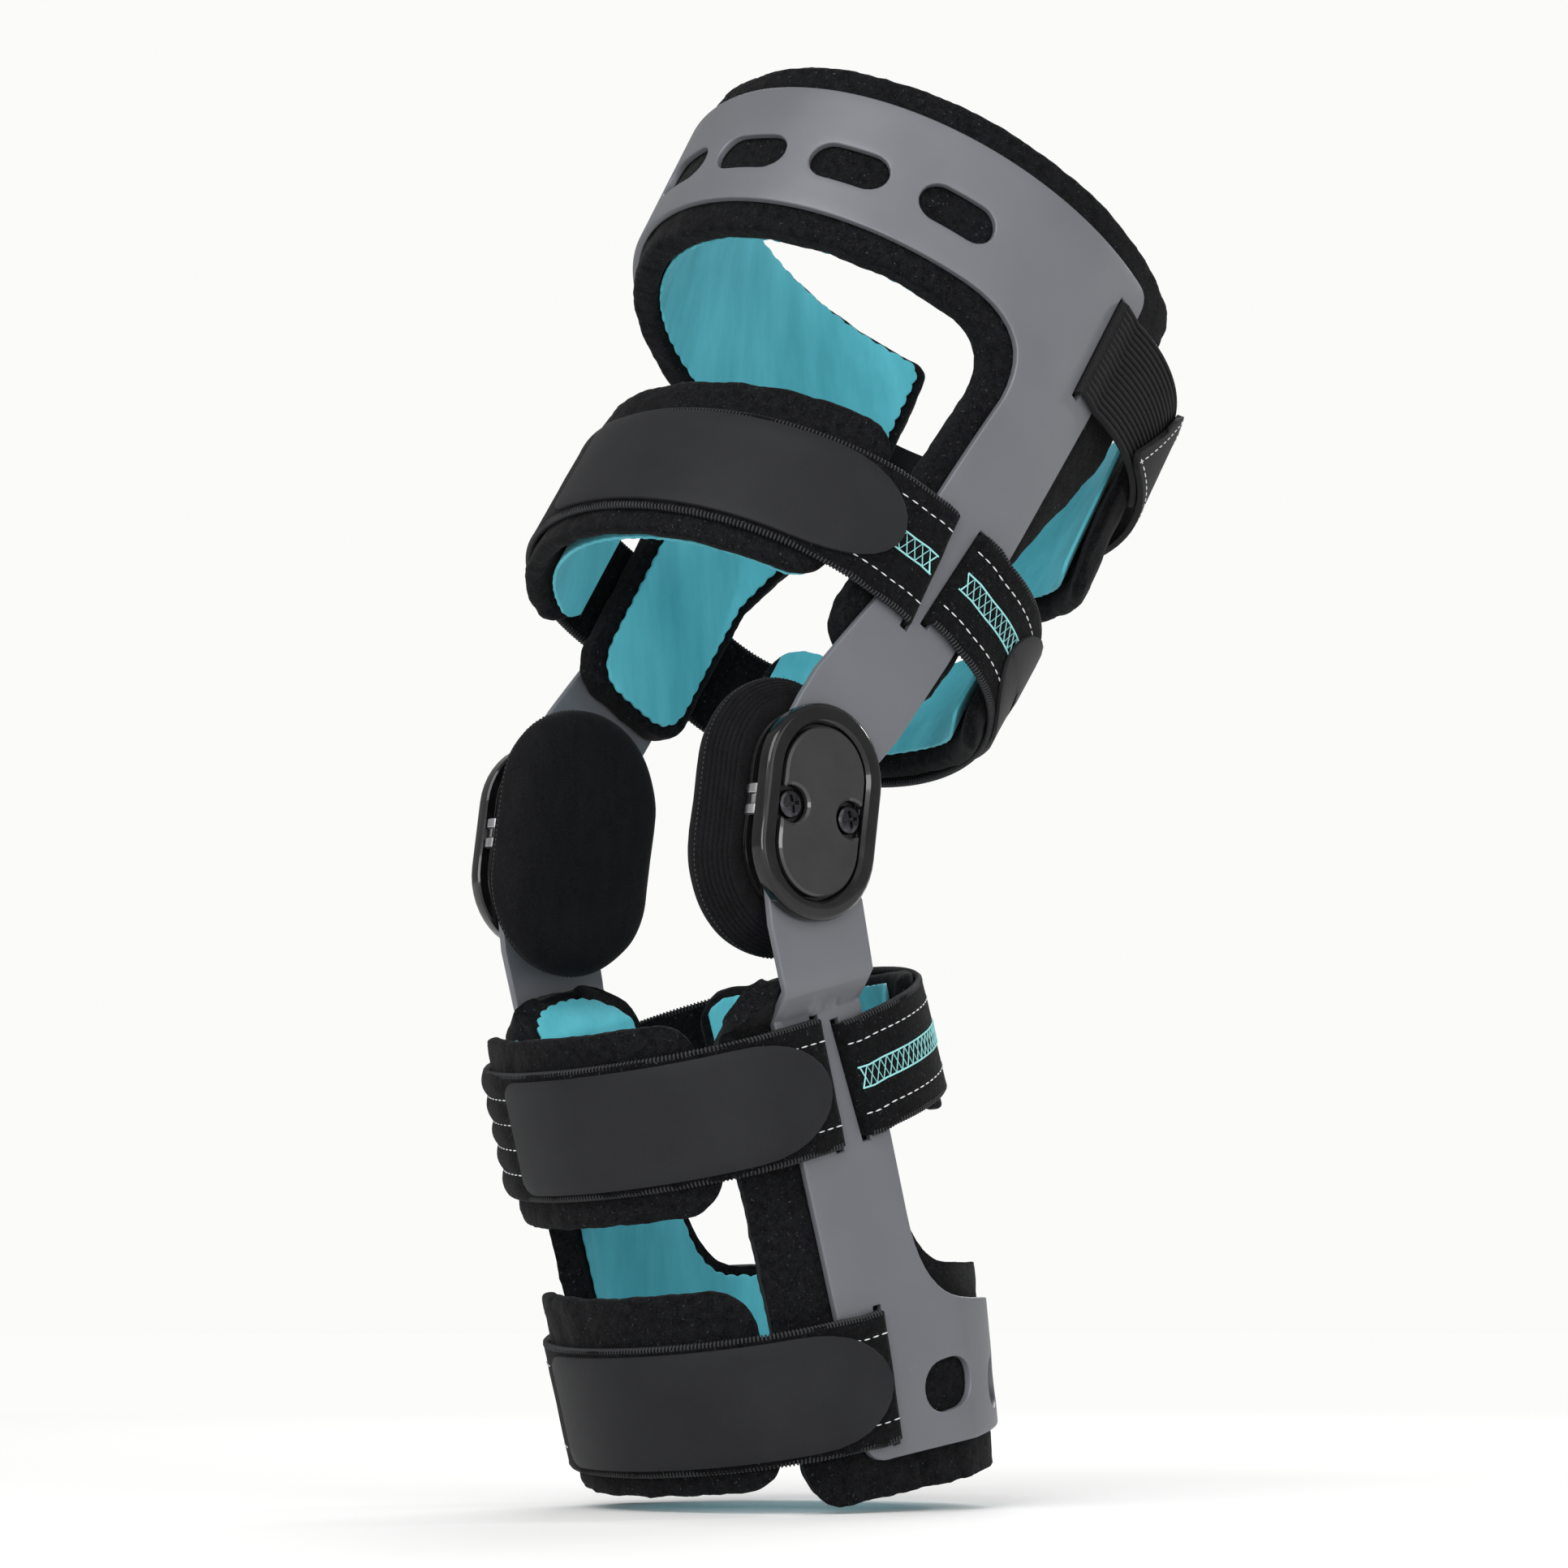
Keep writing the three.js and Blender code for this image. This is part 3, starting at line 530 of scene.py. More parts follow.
def black_fleece(name="black_fleece", dark=0.0015, light=0.012):
    finish = Finish(name, sheen_weight=0.04, sheen_roughness=0.4, specular_ior_level=0.06)
    pile = finish.noise(1500, 3, 0.7)
    tuft = finish.noise(420, 2, 0.6)
    fluff = pile * 0.6 + tuft * 0.4
    low, high = (dark, 1.05 * dark, 1.25 * dark), (light, 1.03 * light, 1.15 * light)
    nap = finish.ramp(fluff, (0.36, low), (0.68, high))
    lint = finish.ramp(finish.noise(1150, 1), (0.69, BLACK), (0.77, WHITE))
    finish.feed("Base Color", finish.mix(lint * 0.4, nap, (0.09, 0.1, 0.12, 1)))
    return finish.surface(0.86 + tuft * 0.14, fluff, 0.75, 0.7)


def teal_cloth():
    finish = Finish("teal_cloth", sheen_weight=0.06, sheen_roughness=0.4, specular_ior_level=0.25)
    streak = finish.noise(60, 4, 0.6, finish.stretched((1, 1, 0.18)))
    nap = finish.noise(1900, 2)
    finish.dye(streak, (0.3, (0.06, 0.34, 0.41)), (0.72, (0.12, 0.52, 0.61)))
    return finish.surface(0.62 + nap * 0.2, nap * 0.6 + streak * 0.4, 0.35, 0.4)


BLACK_FLEECE = black_fleece()
TEAL_CLOTH = teal_cloth()


def ruffle(piece, size, depth):
    """Uneven swelling of stuffed cloth, along the surface normals."""
    mesh = piece.data
    normals = [vertex.normal.copy() for vertex in mesh.vertices]
    for vertex, normal in zip(mesh.vertices, normals):
        vertex.co += normal * depth * MM * noise.noise(vertex.co / (size * MM))
    mesh.update()


def softer(piece):
    """Splits a mesh finer and rounds it."""
    finer = piece.modifiers.new("finer", "SUBSURF")
    finer.levels = finer.render_levels = 1
    settle(piece)


def brushed(piece):
    """Roughens foam's cover: broad swells, then the nap that shows along an outline."""
    softer(piece)
    for size, depth in FLEECE_WAVES:
        ruffle(piece, size, depth)


def thigh_liner_end(grow, rear_grow):
    end, turn = THIGH_LINER["end"] + THIGH_LINER["grow"] - grow, THIGH_LINER["round"]
    z = end + turn
    front = column(THIGH_EDGES, "front", z) - grow
    rear = column(THIGH_EDGES, "rear", z) + rear_grow
    fore = bend((front, z), (front, end), (front + turn, end))
    return fore + bend((rear - turn, end), (rear, end), (rear, z))


def thigh_liner_outline(inset):
    growth = [THIGH_LINER[key] - inset for key in ("grow", "rear_grow", "top_grow")]
    return thigh_outline(*growth, THIGH_LINER["flare"], thigh_liner_end)


def calf_liner_end(front_grow, rear_grow):
    end, turn = CALF_LINER["end"] - CALF_LINER["front_grow"] + front_grow, CALF_LINER["round"]
    z = end - turn
    front = column(CALF_EDGES, "front", z) - front_grow
    rear = column(CALF_EDGES, "rear", z) + rear_grow
    top = ((front + rear) / 2, end)
    return bend((rear, z), (rear, end), top) + bend(top, (front, end), (front, z))[1:]


def calf_liner_outline(inset):
    growth = [CALF_LINER[key] - inset for key in ("grow", "front_grow", "rear_grow")]
    return calf_outline(*growth, calf_liner_end)


def scalloped(loop):
    """Pinks a closed edge: points swing in and out along its length."""
    step = np.roll(loop, -1, 0) - np.roll(loop, 1, 0)
    run = np.cumsum(np.linalg.norm(loop - np.roll(loop, 1, 0), axis=1))
    out = np.stack([step[:, 1], -step[:, 0]], -1) / np.linalg.norm(step, axis=1)[:, None]
    waves = round(run[-1] / SCALLOP["pitch"])
    swing = np.abs(np.sin(np.pi * waves * run / run[-1])) - SCALLOP["inward"]
    return loop + out * (SCALLOP["depth"] * swing)[:, None]


def liner_and_lining(part, wall, outline):
    angle, z, faces = cut_sheet(outline(0), [], LINER_PITCH)
    points = placed(wall_points(wall, angle, z, -GAP - LINER / 2), part)
    liner = make_piece(part + "_liner_foam", points, faces, BLACK_FLEECE)
    thicken(liner, LINER, LINER_EDGE, LINER_EDGE_STEPS, False)
    brushed(liner)
    angle, z, faces = cut_sheet(outline(LINING_INSET), [], SCALLOP["pitch"] / SCALLOP["samples"], scalloped)
    points = placed(wall_points(wall, angle, z, -GAP - LINER - LINING_GAP - LINING / 2), part)
    lining = make_piece(part + "_lining_cloth", points, faces, TEAL_CLOTH)
    thicken(lining, LINING, LINING_EDGE, even_light=False)
    stands_for(liner, part, part + "_liner")
    stands_for(lining, part, part + "_lining")


liner_and_lining("thigh", THIGH_WALL, thigh_liner_outline)
liner_and_lining("calf", CALF_WALL, calf_liner_outline)

# Hinges: a glossy black oval ring over each pair of eyes and their steel pins, with a satin plate sunk in it.
# Two cross-head screws in the plate's round notches hold the stack to a layered plate behind the eyes.
ARM_INSIDE = 62.2
ARM_OUTSIDE = ARM_INSIDE + METAL
CAP = {"width": 44, "height": 64, "base": 2, "depth": 5, "rim": 6, "heel": 0.5, "chamfer": 1, "nick": 0.2}
CAP_SHOULDER = {"inset": (0, 0.35, 1.1, 1.6), "down": (1.6, 0.8, 0.15, 0)}
PLATE = {"width": 30, "height": 50, "thickness": 2.7, "notch": 5.6, "edge": 0.8}
NOTCH_STEPS = 18
SCREW = {"radius": 4.2, "height": 1.8, "at": 11.2}
SCREW_DOME = {"radius": (1, 1, 0.94, 0.78, 0.5, 0.2), "height": (0.05, 0.62, 0.8, 0.92, 0.98, 1)}
CROSS = {"width": 1.1, "reach": 2.6, "sunk": 0.9, "above": 1, "edge": 0.02, "turn": 20}
BACKPLATE = {"width": 42, "height": 62, "thickness": 2.8}
BACKPLATE_LAYERS = {
    "inset": (3.2, 2.6, 2.6, 1.2, 1.2, 0.4, 0.1, 0.1, 0.5, 1.2, 1.2, 0.3, 0, 0, 0.3),
    "out": (0, 0.1, 0.8, 0.9, 1.0, 1.1, 1.3, 1.7, 1.9, 1.95, 2.05, 2.15, 2.3, 2.65, 2.8),
}
CLIP = {"thickness": 0.6, "edge": 0.15}
CLIP_ROUTE = {
    "across": (59.6, 59.9, 61.2, 63.4, 64.6, 64.8),
    "depth": (-19.2, -20.7, -21.5, -21.5, -20.9, -19.4),
}
CLIP_ROWS = {
    "height": (-4.6, -4.2, -1.9, -1.4, 1.4, 1.9, 4.2, 4.6),
    "pinch": (0.9, 0, 0, 1, 1, 0, 0, 0.9),
}
SEAT = ARM_OUTSIDE + 2 * GAP + CAP["base"]
OVAL_STEPS = 48
SLAB_CORNER = 60
SHARP = {"edge": 30, "screw": 40, "layer": 45}
SIDES = {"near": 1, "far": -1}


def gloss_black():
    finish = Finish("gloss_black", coat_weight=0.35, coat_roughness=0.04, specular_ior_level=0.25)
    smear = finish.noise(160, 4, 0.6)
    speck = finish.noise(3200, 2)
    finish.dye(smear, (0.3, (0.004, 0.004, 0.0045)), (0.75, (0.008, 0.008, 0.009)))
    return finish.surface(0.13 + smear * 0.1, speck, 0.06, 0.04)


def satin_black():
    """Satin faces; edges that turn away from the hinge's axis are polished."""
    finish = Finish("satin_black", specular_ior_level=0.35, coat_roughness=0.05)
    across = finish.node("ShaderNodeSeparateXYZ", None, {0: finish.place("Normal")})
    finish.feed("Coat Weight", 1 - across**4)
    smear = finish.noise(120, 4, 0.6)
    grain = finish.noise(2800, 2)
    finish.dye(smear, (0.3, (0.019, 0.019, 0.0198)), (0.75, (0.025, 0.025, 0.026)))
    return finish.surface(0.36 + smear * 0.12, grain, 0.08, 0.04)


def bright_steel():
    finish = Finish("bright_steel", metallic=1.0)
    grain = finish.noise(900, 3, 0.6, finish.stretched((1, 1, 0.08)))
    finish.dye(grain, (0.3, (0.42, 0.42, 0.44)), (0.7, (0.62, 0.62, 0.64)))
    return finish.surface(0.2 + grain * 0.18, grain, 0.1, 0.05)


def screw_steel():
    finish = Finish("screw_steel", metallic=1.0)
    stain = finish.noise(500, 3, 0.6)
    finish.dye(stain, (0.3, (0.03, 0.03, 0.033)), (0.75, (0.09, 0.09, 0.1)))
    return finish.surface(0.16 + stain * 0.16, stain, 0.08, 0.05)


GLOSS_BLACK = gloss_black()
SATIN_BLACK = satin_black()
BRIGHT_STEEL = bright_steel()
SCREW_STEEL = screw_steel()


def oval(width, height, inset):
    radius = width / 2 - inset
    straight = (height - width) / 2
    upper = circle(0, straight, radius, 0, 180, OVAL_STEPS // 2 - 1)
    lower = circle(0, -straight, radius, 180, 360, OVAL_STEPS // 2 - 1)
    return upper + lower


def grid_faces(rows, count, closed=False):
    """Faces between rows of points; in a closed grid each row's end is joined to its start."""
    index = np.arange(rows * count).reshape(rows, count)
    if closed:
        index = np.hstack([index, index[:, :1]])
    corners = [index[:-1, :-1], index[:-1, 1:], index[1:, 1:], index[1:, :-1]]
    return np.stack(corners, -1).reshape(-1, 4).tolist()


def lofted(name, rings, material):
    """Closed form through rings of like points, with a fan at each end."""
    count = len(rings[0])
    points = [point for ring in rings for point in ring]
    faces = grid_faces(len(rings), count, True)
    for ring in (0, len(rings) - 1):
        points.append(np.mean(rings[ring], 0))
        faces += [(ring * count + k, ring * count + (k + 1) % count, len(points) - 1) for k in range(count)]
    piece = make_piece(name, points, faces, material)
    face_outwards(piece)
    return piece


def oval_piece(name, side, width, height, profile, material):
    """Oval form from rows of the inset from its outline and the distance from the knee's middle."""
    rings = []
    for inset, out in profile:
        ring = [(SIDES[side] * out, y, z) for y, z in oval(width, height, inset)]
        rings.append(placed(ring, "hinge"))
    return lofted(f"{name}_{side}", rings, material)


def hinge_piece(piece, side, node):
    stands_for(piece, f"hinge_{side}", f"{node}_{side}")


def sharp_by_angle(piece, degrees):
    piece.data.set_sharp_from_angle(angle=math.radians(degrees))
    return piece


def cap_ring(side):
    back = ARM_OUTSIDE + GAP
    face = back + CAP["depth"]
    bed = back + CAP["base"]
    rim, heel, chamfer, nick = (CAP[key] for key in ("rim", "heel", "chamfer", "nick"))
    profile = [(heel, back), (0, back + heel)]
    profile += [(inset, face - down) for inset, down in zip(*CAP_SHOULDER.values())]
    profile += [(rim - chamfer, face), (rim, face - chamfer), (rim, bed + nick), (rim + nick, bed)]
    piece = oval_piece("hinge_cap_ring", side, CAP["width"], CAP["height"], profile, GLOSS_BLACK)
    return sharp_by_angle(piece, SHARP["edge"])


def slab_piece(name, side, outline, low, high, bevel, material):
    """Flat piece of an outline, drawn in side view, between two distances from the knee's middle."""
    count = len(outline)
    points = [(SIDES[side] * x, y, z) for x in (low, high) for y, z in outline]
    faces = [tuple(range(count)), tuple(range(count, 2 * count))]
    faces += [(k, (k + 1) % count, count + (k + 1) % count, count + k) for k in range(count)]
    piece = make_piece(f"{name}_{side}", placed(points, "hinge"), faces, material)
    face_outwards(piece)
    round_edges(piece, bevel, 1, SLAB_CORNER)
    settle(piece)
    return sharp_by_angle(piece, SHARP["edge"])


def notched_plate(side):
    half, notch, at = PLATE["width"] / 2, PLATE["notch"], SCREW["at"]
    straight = (PLATE["height"] - PLATE["width"]) / 2
    mouth = math.degrees(math.acos((half - at) / notch))
    outline = circle(0, straight, half, 0, 180)
    outline += circle(-at, 0, notch, 180 - mouth, mouth - 180, NOTCH_STEPS)
    outline += circle(0, -straight, half, 180, 360)
    outline += circle(at, 0, notch, -mouth, mouth - 360, NOTCH_STEPS)
    top = SEAT + PLATE["thickness"]
    return slab_piece("hinge_plate_cover", side, outline, SEAT, top, PLATE["edge"], SATIN_BLACK)


def cross_screw(side, name, y):
    """Screw head with a cross recess cut into its low dome."""
    top = SEAT + SCREW["height"]
    rings = []
    for share, up in zip(*SCREW_DOME.values()):
        out = SIDES[side] * (SEAT + SCREW["height"] * up)
        ring = [(out, a, b) for a, b in full_circle(y, 0, SCREW["radius"] * share)]
        rings.append(placed(ring, "hinge"))
    piece = lofted(f"{name}_head_{side}", rings, SCREW_STEEL)
    arm, reach = CROSS["width"] / 2, CROSS["reach"]
    outline = []
    for quarter in range(4):
        turn = math.radians(CROSS["turn"] + 90 * quarter)
        for a, b in ((arm, arm), (arm, reach), (-arm, reach)):
            along = y + a * math.cos(turn) - b * math.sin(turn)
            outline.append((along, a * math.sin(turn) + b * math.cos(turn)))
    low, high = top - CROSS["sunk"], top + CROSS["above"]
    cutter = slab_piece("cross", side, outline, low, high, CROSS["edge"], SCREW_STEEL)
    cut = piece.modifiers.new("cross", "BOOLEAN")
    cut.operation = "DIFFERENCE"
    cut.object = cutter
    settle(piece)
    bpy.data.objects.remove(cutter)
    return sharp_by_angle(piece, SHARP["screw"])


def layered_backplate(side):
    low = ARM_INSIDE - GAP - BACKPLATE["thickness"]
    profile = [(inset, low + out) for inset, out in zip(*BACKPLATE_LAYERS.values())]
    width, height = BACKPLATE["width"], BACKPLATE["height"]
    piece = oval_piece("hinge_backplate_stack", side, width, height, profile, GLOSS_BLACK)
    return sharp_by_angle(piece, SHARP["layer"])


def front_clip(side):
    """Bright spring clip that shows at the front between the ring and the pad."""
    route = list(zip(*CLIP_ROUTE.values()))
    rows = list(zip(*CLIP_ROWS.values()))
    points = [(SIDES[side] * x, y + pinch, z) for z, pinch in rows for x, y in route]
    faces = grid_faces(len(rows), len(route))
    clip = make_piece(f"hinge_clip_{side}", placed(points, "hinge"), faces, BRIGHT_STEEL)
    thicken(clip, CLIP["thickness"], CLIP["edge"])
    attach(clip, f"hinge_{side}")


for side in SIDES:
    hinge_piece(cap_ring(side), side, "hinge_cap")
    hinge_piece(notched_plate(side), side, "hinge_plate")
    for screw, y in (("hinge_front_screw", -SCREW["at"]), ("hinge_rear_screw", SCREW["at"])):
        hinge_piece(cross_screw(side, screw, y), side, screw)
    hinge_piece(layered_backplate(side), side, "hinge_backplate")
    front_clip(side)
    for pin in ("hinge_upper_pivot", "hinge_lower_pivot"):
        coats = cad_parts[f"{pin}_{side}"].data.materials
        coats.clear()
        coats.append(BRIGHT_STEEL)

# Condyle pads: thick ovals of foam in black cloth on the inside of each hinge.
# Near the hinge the cloth is gathered in ridges and sewn; the knee side is a soft round cushion.
CONDYLE_PAD = {"width": 58, "height": 83, "inside": 40, "fill": 0.85}
CONDYLE_SWELL = {"size": 14, "depth": 0.5}
RIDGES = {"count": 7, "pitch": 1.25, "lean": 0.85, "inset": 6, "in": 0.9}
RIDGE_FORM = {"inset": (0, -0.6, -0.5, 0.3), "in": (0, 0.35, 0.8, 1.05)}
PAD_BACK = {"inset": (14, 9, 7.4), "in": (0, 0.1, 0.5)}
PAD_FRONT = {"inset": (0, 0.7, 2.2, 4.6, 8, 14), "out": (7, 4.6, 2.6, 1.1, 0.3, 0)}
PAD_WELT = {"inset": 0.3, "width": 0.9, "stitch": 0.7}
PAD_SEAM = {"Pitch": 1.5, "Length": 1.1, "Width": 0.45}


def pad_cloth():
    finish = Finish("pad_cloth", sheen_weight=0.03, sheen_roughness=0.4, specular_ior_level=0.1)
    weave = finish.noise(2200, 2, 0.6)
    slub = finish.noise(260, 3, 0.6, finish.stretched((1, 1, 0.35)))
    cloth = weave * 0.65 + slub * 0.35
    finish.dye(cloth, (0.34, (0.002, 0.002, 0.0024)), (0.7, (0.01, 0.01, 0.0115)))
    return finish.surface(0.78 + slub * 0.18, cloth, 0.5, 0.45)


PAD_CLOTH = pad_cloth()


def sewing_thread(name, color):
    finish = Finish(name, specular_ior_level=0.3)
    twist = finish.noise(2500, 2)
    dim = tuple(0.62 * c for c in color)
    finish.feed("Base Color", finish.mix(twist, (*dim, 1), (*color, 1)))
    finish.feed("Roughness", 0.55 + twist * 0.25)
    return finish.material


BLACK_THREAD = sewing_thread("black_thread", (0.03, 0.031, 0.034))


def thread_tree(name, sizes):
    """Empty node tree with named sizes and a thread material, ready for its nodes."""
    tree = bpy.data.node_groups.new(name, "GeometryNodeTree")
    tree.interface.new_socket("Route", in_out="INPUT", socket_type="NodeSocketGeometry")
    for size, value in sizes.items():
        tree.interface.new_socket(size, in_out="INPUT", socket_type="NodeSocketFloat").default_value = value
    tree.interface.new_socket("Thread", in_out="INPUT", socket_type="NodeSocketMaterial")
    tree.interface.new_socket("Sewn", in_out="OUTPUT", socket_type="NodeSocketGeometry")
    return tree


def close_tree(tree, geometry, thread):
    real = wired(tree, "GeometryNodeRealizeInstances", None, {"Geometry": geometry})
    dyed = wired(tree, "GeometryNodeSetMaterial", None, {"Geometry": real.outputs[0], "Material": thread})
    wired(tree, "NodeGroupOutput", None, {"Sewn": dyed.outputs[0]})
    return tree


def stitch_tree():
    """A row of short stitches along each route."""
    tree = thread_tree("stitch_row", {"Pitch": 0.003, "Length": 0.002, "Width": 0.0005})
    given = wired(tree, "NodeGroupInput").outputs
    route = wired(tree, "GeometryNodeMeshToCurve", None, {"Mesh": given["Route"]})
    spaced_out = {"Curve": route.outputs[0], "Length": given["Pitch"]}
    points = wired(tree, "GeometryNodeResampleCurve", {"mode": "LENGTH"}, spaced_out)
    bead = wired(tree, "GeometryNodeMeshUVSphere", None, {"Segments": 6, "Rings": 4, "Radius": 0.5})
    sides = {0: given["Length"], 1: given["Width"], 2: given["Width"]}
    size = wired(tree, "ShaderNodeCombineXYZ", None, sides)
    stretch = {"Geometry": bead.outputs[0], "Scale": size.outputs[0]}
    shaped = wired(tree, "GeometryNodeTransform", None, stretch)
    tangent = wired(tree, "GeometryNodeInputTangent")
    lie = wired(tree, "FunctionNodeAlignRotationToVector", {"axis": "X"}, {"Vector": tangent.outputs[0]})
    sewn = {"Points": points.outputs[0], "Instance": shaped.outputs[0], "Rotation": lie.outputs[0]}
    row = wired(tree, "GeometryNodeInstanceOnPoints", None, sewn)
    return close_tree(tree, row.outputs[0], given["Thread"])


STITCH_ROW = stitch_tree()


def sew(name, tree, routes, part, body, finish, thread, **sizes):
    """Runs a thread tree over routes given in a part's millimetres and lets the result ride on a body."""
    points, edges = [], []
    for route in routes:
        edges += [(len(points) + k, len(points) + k + 1) for k in range(len(route) - 1)]
        points += [tuple(p) for p in route]
    mesh = bpy.data.meshes.new(name)
    mesh.from_pydata(placed(points, part).tolist(), edges, [])
    piece = linked(name, mesh)
    modifier = piece.modifiers.new("sewing", "NODES")
    modifier.node_group = tree
    for item in tree.interface.items_tree:
        if item.name in sizes:
            modifier[item.identifier] = sizes[item.name] * MM
        if item.name == "Thread":
            modifier[item.identifier] = thread
    settle(piece)
    piece.data.shade_smooth()
    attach(piece, body)
    return piece


def condyle_pad(side):
    outer = ARM_INSIDE - 2 * GAP - BACKPLATE["thickness"]
    inner = CONDYLE_PAD["inside"]
    width, height = CONDYLE_PAD["width"], CONDYLE_PAD["height"]
    profile = [(inset, outer - more) for inset, more in zip(*PAD_BACK.values())]
    for ridge in range(RIDGES["count"]):
        first = RIDGES["inset"] - RIDGES["lean"] * ridge
        out = outer - RIDGES["in"] - RIDGES["pitch"] * ridge
        profile += [(first + inset, out - more) for inset, more in zip(*RIDGE_FORM.values())]
    seam = out - RIDGES["pitch"]
    profile += [(PAD_WELT["inset"], seam), (0, seam - PAD_WELT["width"])]
    profile += [(inset, inner + out) for inset, out in zip(*PAD_FRONT.values())]
    pad = oval_piece("condyle_pad_cushion", side, width, height, profile, PAD_CLOTH)
    softer(pad)
    ruffle(pad, **CONDYLE_SWELL)
    loop = oval(width, height, 0)
    route = [(SIDES[side] * (seam - PAD_WELT["stitch"]), y, z) for y, z in loop + loop[:1]]
    body = f"hinge_{side}"
    sew(f"condyle_pad_seam_{side}", STITCH_ROW, [route], "hinge", body, "fleece", BLACK_THREAD, **PAD_SEAM)
    return pad


for side in SIDES:
    hinge_piece(condyle_pad(side), side, "condyle_pad")

# Straps: 2 mm bands of black loop cloth, folded through a slot in both uprights and led round the limb.
# Two rows of white stitches run inside the edges, and some have a pale aqua lattice sewn along the middle.
STRAP = 2
SLACK = 0.8
WALLS = {"thigh": (THIGH_WALL, THIGH_EDGES), "calf": (CALF_WALL, CALF_EDGES)}
STRAP_ROWS = 9
STRAP_EDGE = 0.4
STRAP_SWELL = {"size": 8, "depth": 0.25}
ARC_STEP = 3
CHART_UNIT = 10
FOLD_ROUND = 1.3
STITCH = {"Pitch": 3.4, "Length": 2.7, "Width": 0.45}
STITCH_INSET = 6.4
STITCH_LIFT = 0.12
LATTICE = {"height": 6.2, "pitch": 5.4, "radius": 0.29, "start": 0.5, "lift": 0.1}
OVERLOCK = {"Pitch": 1.15, "Length": 0.95, "Width": 2.6}
OVERLOCK_INSET = 0.6
CHANNELS = {"count": 5, "start": 107, "fade": 6, "swell": 1.2, "rows": 41}
STRAP_CLOTH = black_fleece("strap_cloth", light=0.009)
WHITE_THREAD = sewing_thread("white_thread", (0.78, 0.8, 0.8))
AQUA_THREAD = sewing_thread("aqua_thread", (0.36, 0.8, 0.8))


def wall_width(wall, y, z, offset):
    share = (y - column(wall, "centre", z)) / (column(wall, "depth", z) + offset)
    curve = (column(wall, "width", z) + offset) * math.sqrt(max(0, 1 - share * share))
    return min(curve, column(wall, "side", z) + offset)


def strap_edge(strap, height):
    """Where the strap leaves the upright: across and depth of the middle of its cloth."""
    wall, edges = WALLS[strap["half"]]
    half = strap["height"] / 2
    z = min(max(height, strap["mid"] - half), strap["mid"] + half)
    y = column(edges, "front" if strap["to"] < 0 else "rear", z) + strap["to"] * METAL / 2
    return wall_width(wall, y, z, METAL) + SLACK + STRAP / 2, y


def arc_point(strap, z, angle, offset):
    """Point on a strap's arc; a negative angle runs straight on over the upright."""
    x, y = strap_edge(strap, z)
    turn = math.radians(max(angle, 0))
    straight = strap["reach"] * math.radians(min(angle, 0))
    depth = y + strap["to"] * ((strap["reach"] + offset) * math.sin(turn) + straight)
    return np.array(((x + offset) * math.cos(turn), depth, z - strap["slant"] * (depth - strap["slot"])))


def softened(before, corner, after):
    before, corner, after = (np.array(p) for p in (before, corner, after))
    first = corner + (before - corner) / np.linalg.norm(before - corner) * FOLD_ROUND
    last = corner + (after - corner) / np.linalg.norm(after - corner) * FOLD_ROUND
    return [first, (first + 2 * corner + last) / 4, last]


def fold_points(strap, z, offset=0):
    """Near fold: from the end behind the slot's bar, out through the slot and over the upright's edge."""
    wall, _ = WALLS[strap["half"]]
    slot = strap["slot"] + strap["slant"] * (z - strap["mid"])
    tail = slot + strap["to"] * SLOT["fold"]
    middle = (slot + strap_edge(strap, z)[1]) / 2
    off = SLACK + STRAP / 2
    end, entry = (np.array((wall_width(wall, y, z, 0) - off, y, z)) for y in (tail, slot))
    leave, over = (np.array((wall_width(wall, y, z, METAL) + off + offset, y, z)) for y in (slot, middle))
    return [end, *softened(end, entry, leave), *softened(entry, leave, over), over]


def mirrored(points):
    return [np.array((-x, y, z)) for x, y, z in points]


def grid_piece(name, rows, part, material, thickness, under, edge=STRAP_EDGE):
    """Band of cloth from rows of points, with its length and height in a UV map, in centimetres."""
    rows = np.array(rows)
    up, along = rows.shape[:2]
    piece = make_piece(name, placed(rows.reshape(-1, 3), part), grid_faces(up, along), material)
    run = np.cumsum(np.linalg.norm(np.diff(rows[up // 2], axis=0, prepend=rows[up // 2][:1]), axis=1))
    rise = np.linspace(0, np.linalg.norm(rows[-1, along // 2] - rows[0, along // 2]), up)
    chart = np.stack(np.meshgrid(run, rise), -1).reshape(-1, 2) / CHART_UNIT
    layer = piece.data.uv_layers.new(name="cloth")
    corners = np.zeros(len(piece.data.loops), int)
    piece.data.loops.foreach_get("vertex_index", corners)
    layer.data.foreach_set("uv", chart[corners].ravel())
    thicken(piece, thickness, edge, even_light=False)
    return piece


def strap_levels(strap, rows=STRAP_ROWS):
    half = strap["height"] / 2
    return np.linspace(strap["mid"] - half, strap["mid"] + half, rows)


def channel_swell(strap, z, angle):
    """How far a strap's far end swells between the rows that are sewn across it."""
    share = (z - strap["mid"]) / strap["height"] + 0.5
    fade = np.clip((angle - CHANNELS["start"]) / CHANNELS["fade"], 0, 1)
    return CHANNELS["swell"] * fade * abs(math.sin(math.pi * CHANNELS["count"] * share))


